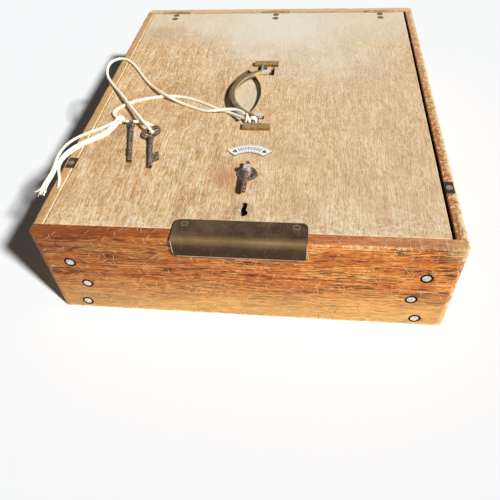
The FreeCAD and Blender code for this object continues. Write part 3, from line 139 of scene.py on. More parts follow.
def new_surface(name, roughness, metallic=0.0, **sockets):
    """A new material's nodes, its shader, and the place on the object in mm."""
    material = bpy.data.materials.new(name)
    material.use_nodes = True
    tree = material.node_tree
    shader = next(n for n in tree.nodes if n.type == "BSDF_PRINCIPLED")
    shader.inputs["Roughness"].default_value = roughness
    shader.inputs["Metallic"].default_value = metallic
    for socket, value in sockets.items():
        shader.inputs[socket.replace("_", " ")].default_value = value
    place = add(tree, "ShaderNodeTexCoord", out="Object")
    mm = add(tree, VECTOR, {0: place, "Scale": 1 / MM}, operation="SCALE")
    return material, tree, shader, mm


def patches(tree, mm, size, detail=3, seed=0):
    """Cloudy patches of a size along X, Y and Z, from 0 to 1."""
    cells = add(tree, VECTOR, {0: mm, 1: [1 / s for s in size], 2: [seed] * 3}, operation="MULTIPLY_ADD")
    return add(tree, NOISE, {"Vector": cells, "Scale": 1, "Detail": detail, "Roughness": 0.6})


def spot(tree, mm, at, radius, ragged=0.7):
    """1 at a place, falling to 0 at a ragged radius round it."""
    away = add(tree, VECTOR, {0: mm, 1: at}, "Value", operation="DISTANCE")
    cloud = patches(tree, mm, [radius * 0.35] * 3, 5)
    pushed = add(tree, MATH, {0: cloud, 1: radius * ragged * 2, 2: away}, operation="MULTIPLY_ADD")
    return add(tree, RANGE, {0: pushed, 1: radius * (1 + ragged), 2: radius * ragged},
               interpolation_type="SMOOTHSTEP")


def edge_gap(tree, mm, low, high):
    """Distance from the nearest edge of a box, along its faces."""
    above = add(tree, VECTOR, {0: mm, 1: low}, operation="SUBTRACT")
    below = add(tree, VECTOR, {0: high, 1: mm}, operation="SUBTRACT")
    gaps = add(tree, VECTOR, {0: above, 1: below}, operation="MINIMUM")
    total = add(tree, VECTOR, {0: gaps, 1: (1, 1, 1)}, "Value", operation="DOT_PRODUCT")
    split = add(tree, SPLIT, {0: gaps}).node.outputs
    largest = add(tree, MATH, {0: split[X], 1: split[Y]}, operation="MAXIMUM")
    largest = add(tree, MATH, {0: largest, 1: split[Z]}, operation="MAXIMUM")
    return add(tree, MATH, {0: total, 1: largest}, operation="SUBTRACT")


WEAR_GRIT, WEAR_BREAK = 1.8, 7
BREAK_SHARE = 0.6
RAGGEDNESS = 3.2
WEAR_ENDS, WEAR_FULL = 3.8, 3.1


def rubbed(tree, mm, low, high, width):
    """Where the edges of a box are rubbed, to about a width from each edge and with a ragged border."""
    gap = edge_gap(tree, mm, low, high)
    share = add(tree, MATH, {0: gap, 1: width}, operation="DIVIDE")
    ragged = patches(tree, mm, [WEAR_GRIT] * 3, 5)
    broken = patches(tree, mm, [WEAR_BREAK] * 3, 3)
    both = add(tree, MATH, {0: broken, 1: BREAK_SHARE, 2: ragged}, operation="MULTIPLY_ADD")
    pushed = add(tree, MATH, {0: both, 1: RAGGEDNESS, 2: share}, operation="MULTIPLY_ADD")
    return add(tree, RANGE, {0: pushed, 1: WEAR_ENDS, 2: WEAR_FULL})


# Shares of a scratch's spacing, and of its width for the core
SCRATCH_BEND = 0.1
SCRATCH_ENDS, SCRATCH_FULL = 0.6, 0.2
SCRATCH_CORE = 0.3


def scratches(tree, flat, spacing, width, share, seed):
    """Straight scratches at random angles, about one for each spacing, on a share of the places."""
    moved = add(tree, VECTOR, {0: flat, 1: (seed, 1.7 * seed, 0)}, operation="ADD")
    wander = add(tree, NOISE, {"Vector": moved, "Scale": 1 / spacing, "Detail": 1}, "Color")
    bend = [spacing * SCRATCH_BEND] * 3
    bent = add(tree, VECTOR, {0: wander, 1: bend, 2: moved}, operation="MULTIPLY_ADD")
    middle = add(tree, "ShaderNodeTexVoronoi", {"Vector": bent, "Scale": 1 / spacing}, "Position",
                 voronoi_dimensions="2D")
    chance = add(tree, "ShaderNodeSeparateColor", {0: middle.node.outputs["Color"]}).node.outputs
    away = add(tree, VECTOR, {0: bent, 1: middle}, operation="SUBTRACT")
    angle = add(tree, MATH, {0: chance[0], 1: TURN}, operation="MULTIPLY")
    turned = add(tree, "ShaderNodeVectorRotate", {"Vector": away, "Angle": angle}, rotation_type="Z_AXIS")
    split = add(tree, SPLIT, {0: turned}).node.outputs
    beside = add(tree, MATH, {0: split[Y]}, operation="ABSOLUTE")
    line = add(tree, RANGE, {0: beside, 1: width, 2: width * SCRATCH_CORE})
    ahead = add(tree, MATH, {0: split[X]}, operation="ABSOLUTE")
    ends = add(tree, RANGE, {0: ahead, 1: spacing * SCRATCH_ENDS, 2: spacing * SCRATCH_FULL})
    kept = add(tree, MATH, {0: chance[1], 1: share}, operation="LESS_THAN")
    both = add(tree, MATH, {0: line, 1: ends}, operation="MULTIPLY")
    return add(tree, MATH, {0: both, 1: kept}, operation="MULTIPLY")


def layered(tree, base, layers):
    """A colour with marks laid over it in order: where each shows, its colour and how strongly."""
    for mask, tone, strength in layers:
        share = add(tree, MATH, {0: mask, 1: strength}, operation="MULTIPLY", use_clamp=True)
        base = add(tree, "ShaderNodeMix", {0: share, 6: base, 7: tone}, 2, data_type="RGBA")
    return base


def raised(tree, shader, height, depth):
    """Relief on a surface, as high as a depth in mm."""
    bump = add(tree, "ShaderNodeBump", {"Height": height, "Distance": depth * MM, "Strength": 1})
    tree.links.new(bump, shader.inputs["Normal"])


# Wood

# How strongly bands, streaks, flecks and cloudy mottle show in a board's figure
FINE_FIGURE = (0.4, 1.2, 1.0, 0.4)
LONG_FIGURE = (0.8, 1.5, 0.6, 0.2)

# Lengths along the grain and widths across it. Pores are drawn wider than real ones, so that they show.
BAND = (75, 13)
STREAK_WIDTH = 1.1
FLECK = (4, 0.7)
PALE_FLECK = (4, 0.6)
PORE_WIDTH = 0.75
LONG_PORE_WIDTH = 0.9
PORE_CLUSTER_WIDTH = 7
MOTTLE = 8
GRAIN_WANDER, WANDER_LENGTH = 5, 40
PORE_DEPTH = 0.15
PALE_STRENGTH = 0.55


def board(name, along, tones, pore_tone, pale_tone, marks, dashes=0.6, spread=0.1, figured=FINE_FIGURE,
          streak=24, pore_strength=0.85):
    """A planed board: streaks, dark pores and pale flecks along the grain, under marks of age and use."""
    material, tree, shader, mm = new_surface(name, 0.5, Specular_IOR_Level=0.15)
    wander = add(tree, NOISE, {"Vector": mm, "Scale": 1 / WANDER_LENGTH, "Detail": 2}, "Color")
    bent = add(tree, VECTOR, {0: wander, 1: [GRAIN_WANDER] * 3, 2: mm}, operation="MULTIPLY_ADD")

    def grain(length, width, detail, seed=0):
        size = [width] * 3
        size[along] = length
        return patches(tree, bent, size, detail, seed)

    streaks = grain(streak, STREAK_WIDTH, 3, 5)
    flecks = grain(*FLECK, 2, 9)
    parts = [grain(*BAND, 4), streaks, flecks, patches(tree, mm, [MOTTLE] * 3, 5, 33)]
    figure = 0.0
    for part, weight in zip(parts, figured):
        figure = add(tree, MATH, {0: part, 1: weight / sum(figured), 2: figure}, operation="MULTIPLY_ADD")
    figure = add(tree, RANGE, {0: figure, 1: 0.5 - spread, 2: 0.5 + spread})
    colour = add(tree, RAMP, {0: figure}, stops=tones)

    clusters = grain(streak * 1.2, PORE_CLUSTER_WIDTH, 2, 71)
    pores = grain(streak * 0.25, PORE_WIDTH, 2, 3)
    pores = add(tree, MATH, {0: clusters, 1: 0.5, 2: pores}, operation="MULTIPLY_ADD")
    pores = add(tree, RANGE, {0: pores, 1: dashes + 0.25, 2: dashes + 0.275})
    long_pores = grain(streak * 0.6, LONG_PORE_WIDTH, 3, 27)
    long_pores = add(tree, RANGE, {0: long_pores, 1: dashes + 0.03, 2: dashes + 0.055})
    pale = add(tree, RANGE, {0: grain(*PALE_FLECK, 2, 15), 1: 0.6, 2: 0.65})

    split = add(tree, SPLIT, {0: mm}).node.outputs
    one, other = [split[axis] for axis in (X, Y, Z) if axis != along]
    beside = add(tree, MATH, {0: one, 1: other}, operation="ADD")
    flat = add(tree, "ShaderNodeCombineXYZ", {0: split[along], 1: beside})
    layers = [(pale, pale_tone, PALE_STRENGTH)]
    layers += [(dark, pore_tone, pore_strength) for dark in (pores, long_pores)]
    colour = layered(tree, colour, layers + marks(tree, mm, flat, split))
    tree.links.new(colour, shader.inputs["Base Color"])
    dull = add(tree, RANGE, {0: streaks, 1: 0.3, 2: 0.7, 3: 0.45, 4: 0.62})
    tree.links.new(dull, shader.inputs["Roughness"])
    relief = add(tree, MATH, {0: pores, 1: -0.6, 2: flecks}, operation="MULTIPLY_ADD")
    raised(tree, shader, relief, PORE_DEPTH)
    return material


# Marks on the boards: each function returns layers, with places and sizes in mm in the object's frame

LID_UNDERSIDE = 77
LID_LOW, LID_HIGH = (-143, -175.5, 60), (141.4, 174.2, 112)
RECESS_MIDDLE, RECESS_REACH = (-14, 0, 84), 56
RECESS_FLOOR = 81.5
KEYHOLE_MIDDLE, KEYHOLE_REACH = (-0.4, -152, 82), 16


def lid_marks(tree, mm, flat, split):
    """Soil, pale wear, a paler back, dark stains at lock and knot, scratches, painted sheen, and painted
    shade in hollows and at the sides.
    """
    height = split[Z]
    above = add(tree, RANGE, {0: height, 1: LID_UNDERSIDE + 0.2, 2: LID_UNDERSIDE + 0.6})
    soiled = add(tree, RANGE, {0: patches(tree, mm, (24, 34, 24), 4, 77), 1: 0.48, 2: 0.68})
    right = add(tree, RANGE, {0: split[X], 1: -100, 2: 100}, interpolation_type="SMOOTHSTEP")
    front = add(tree, RANGE, {0: split[Y], 1: -145, 2: -172})
    flaked = add(tree, RANGE, {0: patches(tree, mm, (5, 3, 5), 5, 88), 1: 0.5, 2: 0.6})
    handled = add(tree, MATH, {0: front, 1: flaked}, operation="MULTIPLY")
    cloud = patches(tree, mm, (40, 40, 40), 4, 99)
    paler_back = add(tree, MATH, {0: cloud, 1: 70, 2: split[Y]}, operation="MULTIPLY_ADD")
    paler_back = add(tree, RANGE, {0: paler_back, 1: 120, 2: 185})
    paler_back = add(tree, MATH, {0: paler_back, 1: above}, operation="MULTIPLY")
    # Painted sheen: a pale pool on the back of the lid's top, where it would reflect the light
    painted_sheen = spot(tree, mm, (5, 130, LID_TOP), 120, 0.5)
    painted_sheen = add(tree, MATH, {0: painted_sheen, 1: above}, operation="MULTIPLY")

    sunk = add(tree, RANGE, {0: height, 1: LID_TOP - 0.1, 2: LID_TOP - 0.4})
    recess = add(tree, RANGE, {0: spot(tree, mm, RECESS_MIDDLE, RECESS_REACH, 0), 1: 0, 2: 0.02})
    recess = add(tree, MATH, {0: recess, 1: above}, operation="MULTIPLY")
    # Painted shade: the finger recess darkened below the top, where its walls lie in shade; the floor is
    # painted over below
    wall_shade = add(tree, MATH, {0: sunk, 1: recess}, operation="MULTIPLY")
    off_floor = add(tree, MATH, {0: height, 1: RECESS_FLOOR}, operation="SUBTRACT")
    off_floor = add(tree, MATH, {0: off_floor}, operation="ABSOLUTE")
    recess_floor = add(tree, RANGE, {0: off_floor, 1: 0.3, 2: 0.1})
    recess_floor = add(tree, MATH, {0: recess_floor, 1: recess}, operation="MULTIPLY")
    stained = add(tree, RANGE, {0: patches(tree, mm, (5, 8, 8), 4, 51), 1: 0.5, 2: 0.62})
    stained = add(tree, MATH, {0: stained, 1: recess_floor}, operation="MULTIPLY")
    # Painted shade: the pockets below the recess floor painted near black
    pocket_shade = add(tree, RANGE, {0: height, 1: RECESS_FLOOR - 0.2, 2: RECESS_FLOOR - 0.5})
    pocket_shade = add(tree, MATH, {0: pocket_shade, 1: recess}, operation="MULTIPLY")

    # Painted shade: the keyhole's walls painted near black, all but the left wall, which the light from the
    # right reaches
    keyhole_shade = add(tree, RANGE, {0: spot(tree, mm, KEYHOLE_MIDDLE, KEYHOLE_REACH, 0), 1: 0, 2: 0.02})
    keyhole_shade = add(tree, MATH, {0: keyhole_shade, 1: sunk}, operation="MULTIPLY")
    shaded = add(tree, RANGE, {0: split[X], 1: -2.6, 2: -1.4})
    keyhole_shade = add(tree, MATH, {0: keyhole_shade, 1: shaded}, operation="MULTIPLY")

    # Painted shade: the lid's outer sides darkened below the top, in the gap beside the case
    outline = add(tree, MATH, {0: edge_gap(tree, mm, LID_LOW, LID_HIGH)}, operation="ABSOLUTE")
    sides = add(tree, RANGE, {0: outline, 1: 1.0, 2: 0.5})
    deep = add(tree, RANGE, {0: height, 1: LID_TOP - 0.2, 2: LID_TOP - 1.2})
    sides = add(tree, MATH, {0: sides, 1: deep}, operation="MULTIPLY")
    return [
        (soiled, "#b5804f", 0.35),
        (right, "#e4d0ae", 0.35),
        (handled, "#f6ead2", 0.55),
        (paler_back, "#e8dabf", 0.75),
        # painted sheen at the back of the top
        (painted_sheen, "#ece5d3", 0.8),
        (spot(tree, mm, (70, 60, LID_TOP), 70), "#eadfc6", 0.4),
        (spot(tree, mm, (-122, 120, LID_TOP), 40), "#b3946c", 0.35),
        (spot(tree, mm, (-95, -20, LID_TOP), 55), "#c4925c", 0.35),
        (spot(tree, mm, (-122, -54, LID_TOP), 20), "#7d4f28", 0.6),
        (spot(tree, mm, (-14, -120, LID_TOP), 26), "#c07e4c", 0.4),
        (spot(tree, mm, (-2, -155, LID_TOP), 12), "#7d5c3a", 0.4),
        # Painted highlight: the lit left wall inside the keyhole, painted cream
        (spot(tree, mm, (-3.2, -154.4, LID_TOP), 2.0, 0.2), "#f3e7cd", 0.85),
        (scratches(tree, flat, 9, 0.35, 0.35, 3), "#fbf3e2", 0.45),
        (scratches(tree, flat, 15, 0.35, 0.4, 41), "#fbf3e2", 0.45),
        (scratches(tree, flat, 36, 0.4, 0.4, 11), "#fdf6e8", 0.5),
        (scratches(tree, flat, 60, 0.4, 0.4, 91), "#fdf6e8", 0.45),
        (scratches(tree, flat, 19, 0.35, 0.25, 23), "#9a7048", 0.3),
        # painted shade on the recess walls
        (wall_shade, "#5a3c20", 0.85),
        (recess_floor, "#ead9bb", 0.9),
        (stained, "#d8b79c", 0.6),
        # painted shade in the pockets
        (pocket_shade, "#120b06", 0.95),
        # painted shade in the keyhole
        (keyhole_shade, "#0f0905", 0.97),
        # painted shade on the lid's sides in the gap
        (sides, "#2a1a0e", 0.9),
    ]


def case_wear(tree, mm, along, width):
    """Rubbed outer edges of the case that run along one axis."""
    low, high = list(CASE_LOW), list(CASE_HIGH)
    low[along], high[along] = -FAR, FAR
    return rubbed(tree, mm, low, high, width)


def front_marks(tree, mm, flat, split):
    """Yellow towards the floor, dark at the left, with pale runs and the broadest wear at the right."""
    height = split[Z]
    low = add(tree, RANGE, {0: height, 1: 50, 2: 4}, interpolation_type="SMOOTHSTEP")
    left = add(tree, RANGE, {0: split[X], 1: 40, 2: -150})
    fading = add(tree, RANGE, {0: height, 1: 5, 2: 55, 3: 0.45, 4: 1})
    left = add(tree, MATH, {0: left, 1: fading}, operation="MULTIPLY")
    high_left = add(tree, RANGE, {0: height, 1: 40, 2: 80})
    high_left = add(tree, MATH, {0: high_left, 1: left}, operation="MULTIPLY")
    right = add(tree, RANGE, {0: split[X], 1: 20, 2: 140})
    top = add(tree, RANGE, {0: height, 1: LID_TOP - 1.0, 2: LID_TOP - 0.3})
    top_right = add(tree, MATH, {0: top, 1: right}, operation="MULTIPLY")
    runs = add(tree, RANGE, {0: patches(tree, mm, (1.1, 15, 9), 3), 1: 0.58, 2: 0.66})
    high = add(tree, RANGE, {0: height, 1: 70, 2: LID_TOP})
    runs = add(tree, MATH, {0: runs, 1: high}, operation="MULTIPLY")
    runs = add(tree, MATH, {0: runs, 1: right}, operation="MULTIPLY")
    top_width = add(tree, RANGE, {0: split[X], 1: -60, 2: 60, 3: 0.4, 4: 1.2})
    low_width = add(tree, RANGE, {0: height, 1: 10, 2: 5, 3: 0, 4: 2.6})
    edge_width = add(tree, MATH, {0: top_width, 1: low_width}, operation="MAXIMUM")
    corner_width = add(tree, RANGE, {0: split[X], 1: 0, 2: 20, 3: 2.0, 4: 3.6})
    return [
        (low, "#e6bf78", 0.55),
        (left, "#6a2f10", 0.55),
        (high_left, "#56240f", 0.3),
        (top, "#9c5230", 0.4),
        (top_right, "#dc9f78", 0.5),
        (scratches(tree, flat, 6, 0.35, 0.45, 5), "#f0cf9c", 0.5),
        (scratches(tree, flat, 15, 0.35, 0.2, 53), "#f0d29e", 0.45),
        (scratches(tree, flat, 12, 0.4, 0.3, 17), "#3c1a0a", 0.5),
        (runs, "#f0d3a0", 0.5),
        (spot(tree, mm, (150, -184, 84), 16), "#f4cd90", 0.45),
        (case_wear(tree, mm, X, edge_width), "#f4d9a0", 0.7),
        (case_wear(tree, mm, Z, corner_width), "#f3d9a4", 0.7),
    ]


def back_marks(tree, mm, flat, split):
    """A pale bare top, rubbed edges and scratches of the back."""
    top = add(tree, RANGE, {0: split[Z], 1: LID_TOP - 2, 2: LID_TOP - 0.6})
    return [
        (top, "#e6c6a0", 0.8),
        (scratches(tree, flat, 14, 0.45, 0.35, 7), "#e8c48e", 0.5),
        (scratches(tree, flat, 22, 0.5, 0.4, 29), "#4e2410", 0.5),
        (case_wear(tree, mm, X, 1.5), "#efd2a0", 0.7),
        (case_wear(tree, mm, Z, 3.0), "#e8c88e", 0.6),
    ]


def left_marks(tree, mm, flat, split):
    """A tan top with a cream inner edge, rubbed outside, and painted shade in the gap beside the lid."""
    top = add(tree, RANGE, {0: split[Z], 1: LID_TOP - 2, 2: LID_TOP - 0.4})
    inner_edge = rubbed(tree, mm, (-FAR, -FAR, -FAR), (-SIDE_INNER, FAR, LID_TOP), 0.9)
    # Painted shade: the inner face darkened just below the top, in the gap beside the lid
    gap = add(tree, RANGE, {0: split[X], 1: -SIDE_INNER - 0.5, 2: -SIDE_INNER - 0.1})
    below = add(tree, RANGE, {0: split[Z], 1: LID_TOP - 0.7, 2: LID_TOP - 2})
    gap = add(tree, MATH, {0: gap, 1: below}, operation="MULTIPLY")
    return [
        (top, "#d7ac72", 0.6),
        (scratches(tree, flat, 10, 0.4, 0.4, 13), "#f0d9ae", 0.5),
        (scratches(tree, flat, 18, 0.5, 0.4, 37), "#6b3c1c", 0.5),
        (case_wear(tree, mm, Y, 1.1), "#e2c08a", 0.6),
        (inner_edge, "#f5e4bd", 0.75),
        # painted shade in the gap
        (gap, "#2a170b", 0.9),
    ]


def right_marks(tree, mm, flat, split):
    """A red-brown top broken by cream flecks, a broad pale outer edge, and painted shade, near black, in the
    gap beside the lid.
    """
    top = add(tree, RANGE, {0: split[Z], 1: LID_TOP - 2, 2: LID_TOP - 0.4})
    chips = add(tree, RANGE, {0: patches(tree, mm, (2.2, 3.4, 2.2), 5, 21), 1: 0.53, 2: 0.6})
    chips = add(tree, MATH, {0: chips, 1: top}, operation="MULTIPLY")
    paler = add(tree, RANGE, {0: split[Y], 1: -60, 2: 170})
    paler = add(tree, MATH, {0: paler, 1: top}, operation="MULTIPLY")
    worn_top = scratches(tree, flat, 8, 0.45, 0.5, 19)
    worn_top = add(tree, MATH, {0: worn_top, 1: top}, operation="MULTIPLY")
    # Painted shade: the inner face painted near black just below the top, in the gap beside the lid
    gap = add(tree, RANGE, {0: split[X], 1: SIDE_INNER + 0.7, 2: SIDE_INNER + 0.3})
    below = add(tree, RANGE, {0: split[Z], 1: LID_TOP - 0.5, 2: LID_TOP - 1.4})
    gap = add(tree, MATH, {0: gap, 1: below}, operation="MULTIPLY")
    return [
        (top, "#b97445", 0.6),
        (paler, "#d9ad85", 0.5),
        (chips, "#f3d9a9", 0.65),
        (worn_top, "#f6e2b8", 0.6),
        (scratches(tree, flat, 16, 0.45, 0.3, 83), "#e9c592", 0.4),
        (scratches(tree, flat, 22, 0.5, 0.4, 47), "#5a2c14", 0.5),
        (case_wear(tree, mm, Y, 3.6), "#f8e2b6", 0.8),
        # painted shade in the gap
        (gap, "#140b05", 0.97),
    ]


def base_marks(tree, mm, flat, split):
    """Scuffs on the underside."""
    return [
        (scratches(tree, flat, 30, 0.6, 0.4, 31), "#f0dfbc", 0.5),
        (scratches(tree, flat, 44, 0.6, 0.4, 59), "#7d5a38", 0.5),
    ]


MAHOGANY = [(0.0, "#7a3510"), (0.25, "#b05c22"), (0.5, "#d27833"), (0.75, "#e49a50"), (1.0, "#f3c882")]
RED_MAHOGANY = [(0.0, "#693213"), (0.35, "#97562b"), (0.7, "#b97a45"), (1.0, "#d9a86e")]
TAN_MAHOGANY = [(0.0, "#8a5323"), (0.35, "#b37a41"), (0.7, "#cc9a5e"), (1.0, "#e6c08a")]
BEECH = [(0.0, "#bb8850"), (0.25, "#d4a770"), (0.5, "#e3bd8b"), (0.75, "#efd2a6"), (1.0, "#faeacb")]
PINE = [(0.0, "#a98354"), (0.5, "#cfae7c"), (1.0, "#e4ca9c")]

# Beech, planed and worn bare: a pale dull cream-brown with short brown pores
lid_wood = board("planed_beech_lid", Y, BEECH, "#a47548", "#f5e6c9", lid_marks, dashes=0.595,
                 pore_strength=0.65)
# Mahogany, planed and varnished: orange-brown with long near-black pores and a faint sheen
front_wood = board("varnished_mahogany_front", X, MAHOGANY, "#34150a", "#e8b876", front_marks, dashes=0.575,
                   spread=0.115, figured=LONG_FIGURE, streak=50)
# The same mahogany at the back, with browner pores
back_wood = board("varnished_mahogany_back", X, MAHOGANY, "#421b08", "#e8b876", back_marks, dashes=0.575,
                  spread=0.12, figured=LONG_FIGURE, streak=50)
# Mahogany with most of its varnish gone: tan, with fine pores
left_wood = board("varnished_mahogany_left", Y, TAN_MAHOGANY, "#6b3a18", "#ecd09c", left_marks)
# Mahogany that kept more of its varnish: red-brown, with fine dark pores
right_wood = board("varnished_mahogany_right", Y, RED_MAHOGANY, "#4a210b", "#e6c08a", right_marks)
# Pine, planed and left bare: pale yellow, matt and scuffed
base_wood = board("planed_pine_base", Y, PINE, "#8d673d", "#eed9b0", base_marks)


# Metals and the label

SPECK_EDGE = 0.07
SPECK_STRENGTH = 0.7
EDGE_STRENGTH = 0.85


def metal(name, tones, roughness, blotch, specks, metallic=1.0, relief=0.05, edge=None, marks=None):
    """A fitting's surface: cloudy tarnish, fine specks, and sharp edges rubbed to another tone, on some
    fittings also a painted highlight.

    Specks are a tone, a size and where they start, from 0 to 1. An edge is a tone and a width."""
    speck_tone, speck_size, specks_from = specks
    material, tree, shader, mm = new_surface(name, roughness, metallic)
    cloud = patches(tree, mm, [blotch] * 3, 4)
    colour = add(tree, RAMP, {0: add(tree, RANGE, {0: cloud, 1: 0.32, 2: 0.68})}, stops=tones)
    grit = patches(tree, mm, [speck_size] * 3, 2)
    speckled = add(tree, RANGE, {0: grit, 1: specks_from, 2: specks_from + SPECK_EDGE})
    layers = [(speckled, speck_tone, SPECK_STRENGTH)]
    if marks:
        layers += marks(tree, mm)
    if edge:
        edge_tone, edge_width = edge
        softened = add(tree, "ShaderNodeBevel", {"Radius": edge_width * MM}, samples=6)
        plain = add(tree, "ShaderNodeNewGeometry", out="Normal")
        turn = add(tree, VECTOR, {0: softened, 1: plain}, "Value", operation="DOT_PRODUCT")
        layers.append((add(tree, RANGE, {0: turn, 1: 0.985, 2: 0.88}), edge_tone, EDGE_STRENGTH))
    tree.links.new(layered(tree, colour, layers), shader.inputs["Base Color"])
    dull = add(tree, RANGE, {0: cloud, 1: 0.3, 2: 0.7, 3: roughness - 0.08, 4: roughness + 0.1})
    tree.links.new(dull, shader.inputs["Roughness"])
    raised(tree, shader, grit, relief)
    return material


PLATE_LOW, PLATE_HIGH = [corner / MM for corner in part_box("edge_plate")]


def plate_marks(tree, mm):
    """A dark front, a painted highlight along the bend, fine scratches, and pale rims."""
    split = add(tree, SPLIT, {0: mm}).node.outputs
    beside = add(tree, MATH, {0: split[Y], 1: split[Z]}, operation="SUBTRACT")
    flat = add(tree, "ShaderNodeCombineXYZ", {0: split[X], 1: beside})
    low = add(tree, RANGE, {0: split[Z], 1: 84.5, 2: 76})
    # Painted highlight: a soft pale band along the bend, where it would catch the lamp
    bend = edge_gap(tree, mm, (-FAR, PLATE_LOW[Y], -FAR), (FAR, FAR, PLATE_HIGH[Z]))
    uneven = patches(tree, mm, (9, 1.2, 1.2), 3)
    bend = add(tree, MATH, {0: uneven, 1: 2.2, 2: bend}, operation="MULTIPLY_ADD")
    bend = add(tree, RANGE, {0: bend, 1: 8.0, 2: 1.6}, interpolation_type="SMOOTHSTEP")
    rim = edge_gap(tree, mm, PLATE_LOW, (PLATE_HIGH[X], PLATE_HIGH[Y], FAR))
    rim = add(tree, RANGE, {0: rim, 1: 0.9, 2: 0.4})
    return [
        (low, "#3f2b1d", 0.65),
        # painted highlight along the bend
        (bend, "#c4a064", 0.3),
        (scratches(tree, flat, 5, 0.25, 0.35, 61), "#a08a66", 0.3),
        (scratches(tree, flat, 12, 0.25, 0.2, 67), "#b9a37c", 0.25),
        (rim, "#e6d6b2", 0.7),
    ]


BAIL_CENTRE = (16.34, 0, 88)
BAIL_INNER_RADIUS = 41.34


def bail_marks(tree, mm):
    """Painted shade along the outer edge, a painted highlight along the inner one, and silvery ends, worn
    and painted as a highlight.
    """
    split = add(tree, SPLIT, {0: mm}).node.outputs
    level = add(tree, "ShaderNodeCombineXYZ", {0: split[X], 1: split[Y], 2: BAIL_CENTRE[Z]})
    away = add(tree, VECTOR, {0: level, 1: BAIL_CENTRE}, "Value", operation="DISTANCE")
    from_inner = add(tree, MATH, {0: away, 1: BAIL_INNER_RADIUS}, operation="SUBTRACT")
    # Painted shade outside the band, a painted highlight on its inner edge, and worn ends painted pale as a
    # highlight
    outer = add(tree, RANGE, {0: from_inner, 1: 2.5, 2: 5.5})
    inner = add(tree, RANGE, {0: from_inner, 1: 1.1, 2: 0.4})
    ends = add(tree, RANGE, {0: split[X], 1: -5.5, 2: -2.5})
    return [
        # painted shade, painted highlight, and worn ends with a painted highlight
        (outer, "#4a3a20", 0.6),
        (inner, "#f0d9a6", 0.75),
        (ends, "#dcd8c8", 0.8),
    ]


LABEL_TOP = 87


def label_marks(tree, mm):
    """A dark tone on the label's cut edge, below its top face."""
    height = add(tree, SPLIT, {0: mm}).node.outputs[Z]
    return [(add(tree, RANGE, {0: height, 1: LABEL_TOP - 0.05, 2: LABEL_TOP - 0.15}), "#3a332b", 0.9)]


# Sheet steel as rolled: an even dull grey with brown flecks of rust
rolled_steel = metal("rolled_mild_steel", [(0, "#7d7a74"), (1, "#a9a59c")],
                     roughness=0.42, blotch=9, specks=("#5c4a38", 0.8, 0.6))
# Steel rivets with hammered heads: bright and silvery with small grey dents
rivet_steel = metal("peened_steel_rivet", [(0, "#a9a69d"), (0.5, "#d3d1ca"), (1, "#f2f1ec")],
                    roughness=0.28, blotch=2.2, specks=("#7d7569", 0.6, 0.64))
# Steel washers and the keyhole's drill pin: near black and dull, as dirt and as painted shade in the gap
# round each rivet and inside the keyhole
washer_black = metal("dark_steel_washer_dirt_and_shade", [(0, "#120c08"), (1, "#2b1d13")],
                     roughness=0.6, blotch=3, specks=("#4a3828", 0.5, 0.6))
# Steel strikes blackened in oil and rubbed: dark brown with lighter edges
strike_black = metal("blackened_steel_strike", [(0, "#2b2118"), (1, "#4a3b2a")], roughness=0.45,
                     blotch=4, specks=("#6f5a3c", 0.6, 0.64), metallic=0.8, edge=("#6f5b40", 0.4))
# Turned steel screws: grey-brown, with rims and slots worn bright and painted pale as a highlight
strike_screw = metal("worn_steel_screw_painted_highlight", [(0, "#5a4d3e"), (1, "#a89a84")], roughness=0.4,
                     blotch=2, specks=("#8a7a62", 0.6, 0.64), metallic=0.9, edge=("#e3d9c4", 0.5))
# Sheet brass, bent and left to tarnish: smooth dark brown with golden specks
plate_brass = metal("tarnished_brass_plate", [(0, "#433326"), (0.5, "#564434"), (1, "#665240")],
                    roughness=0.42, blotch=14, specks=("#86714f", 0.7, 0.63), relief=0.03, marks=plate_marks)
# Brass rivets filed flush with the plate: its brown, with a thin pale rim
plate_rivet = metal("tarnished_brass_flush_rivet", [(0, "#54422f"), (1, "#6c5842")], roughness=0.35,
                    blotch=5, specks=("#86714f", 0.6, 0.63), relief=0.03, edge=("#e6d8b4", 0.6))
# Rolled brass hinges under a film of dirt: dull tan
hinge_brass = metal("tarnished_brass_hinge", [(0, "#8f6e47"), (1, "#c29d6e")],
                    roughness=0.45, blotch=6, specks=("#6f5232", 0.8, 0.6), metallic=0.4)
# Cast brass lugs: brownish yellow with a sandy skin and rubbed edges
lug_brass = metal("cast_brass_lug", [(0, "#7d6338"), (0.6, "#a0824f"), (1, "#b99a64")], roughness=0.4,
                  blotch=4, specks=("#5c4828", 0.7, 0.6), metallic=0.55, relief=0.1, edge=("#d3b780", 0.5))
# Pressed brass bail: olive brown to bright yellow, with painted shade outside and a painted highlight along
# the inner edge
bail_brass = metal("pressed_brass_bail", [(0, "#5b4a29"), (0.6, "#7a643b"), (1, "#97804f")], roughness=0.36,
                   blotch=5, specks=("#43351f", 0.7, 0.62), metallic=0.55, relief=0.06, marks=bail_marks)
# Brass rivet heads, tarnished and dirty: dull grey-brown
rivet_dark = metal("tarnished_brass_rivet", [(0, "#5c4c3c"), (1, "#86735d")],
                   roughness=0.5, blotch=3, specks=("#4a3c2e", 0.9, 0.55), metallic=0.7)
# Turned brass rose: dark brown, with a silvery rim that is partly rubbed and partly a painted highlight
rose_brass = metal("turned_brass_rose", [(0, "#2e241d"), (1, "#75664f")], roughness=0.32,
                   blotch=3, specks=("#2a211a", 0.6, 0.6), metallic=0.7, relief=0.06, edge=("#cfc6b8", 0.5))
# Drawn iron bar, rusted and then polished by use: purple-brown with pale glints, its edges painted pale as
# highlights
bar_iron = metal("drawn_iron_bar", [(0, "#33190f"), (0.5, "#6b4436"), (1, "#a5806f")], roughness=0.34,
                 blotch=2.5, specks=("#e4d8ca", 0.8, 0.57), metallic=0.5, relief=0.1, edge=("#d6c8b8", 0.4))
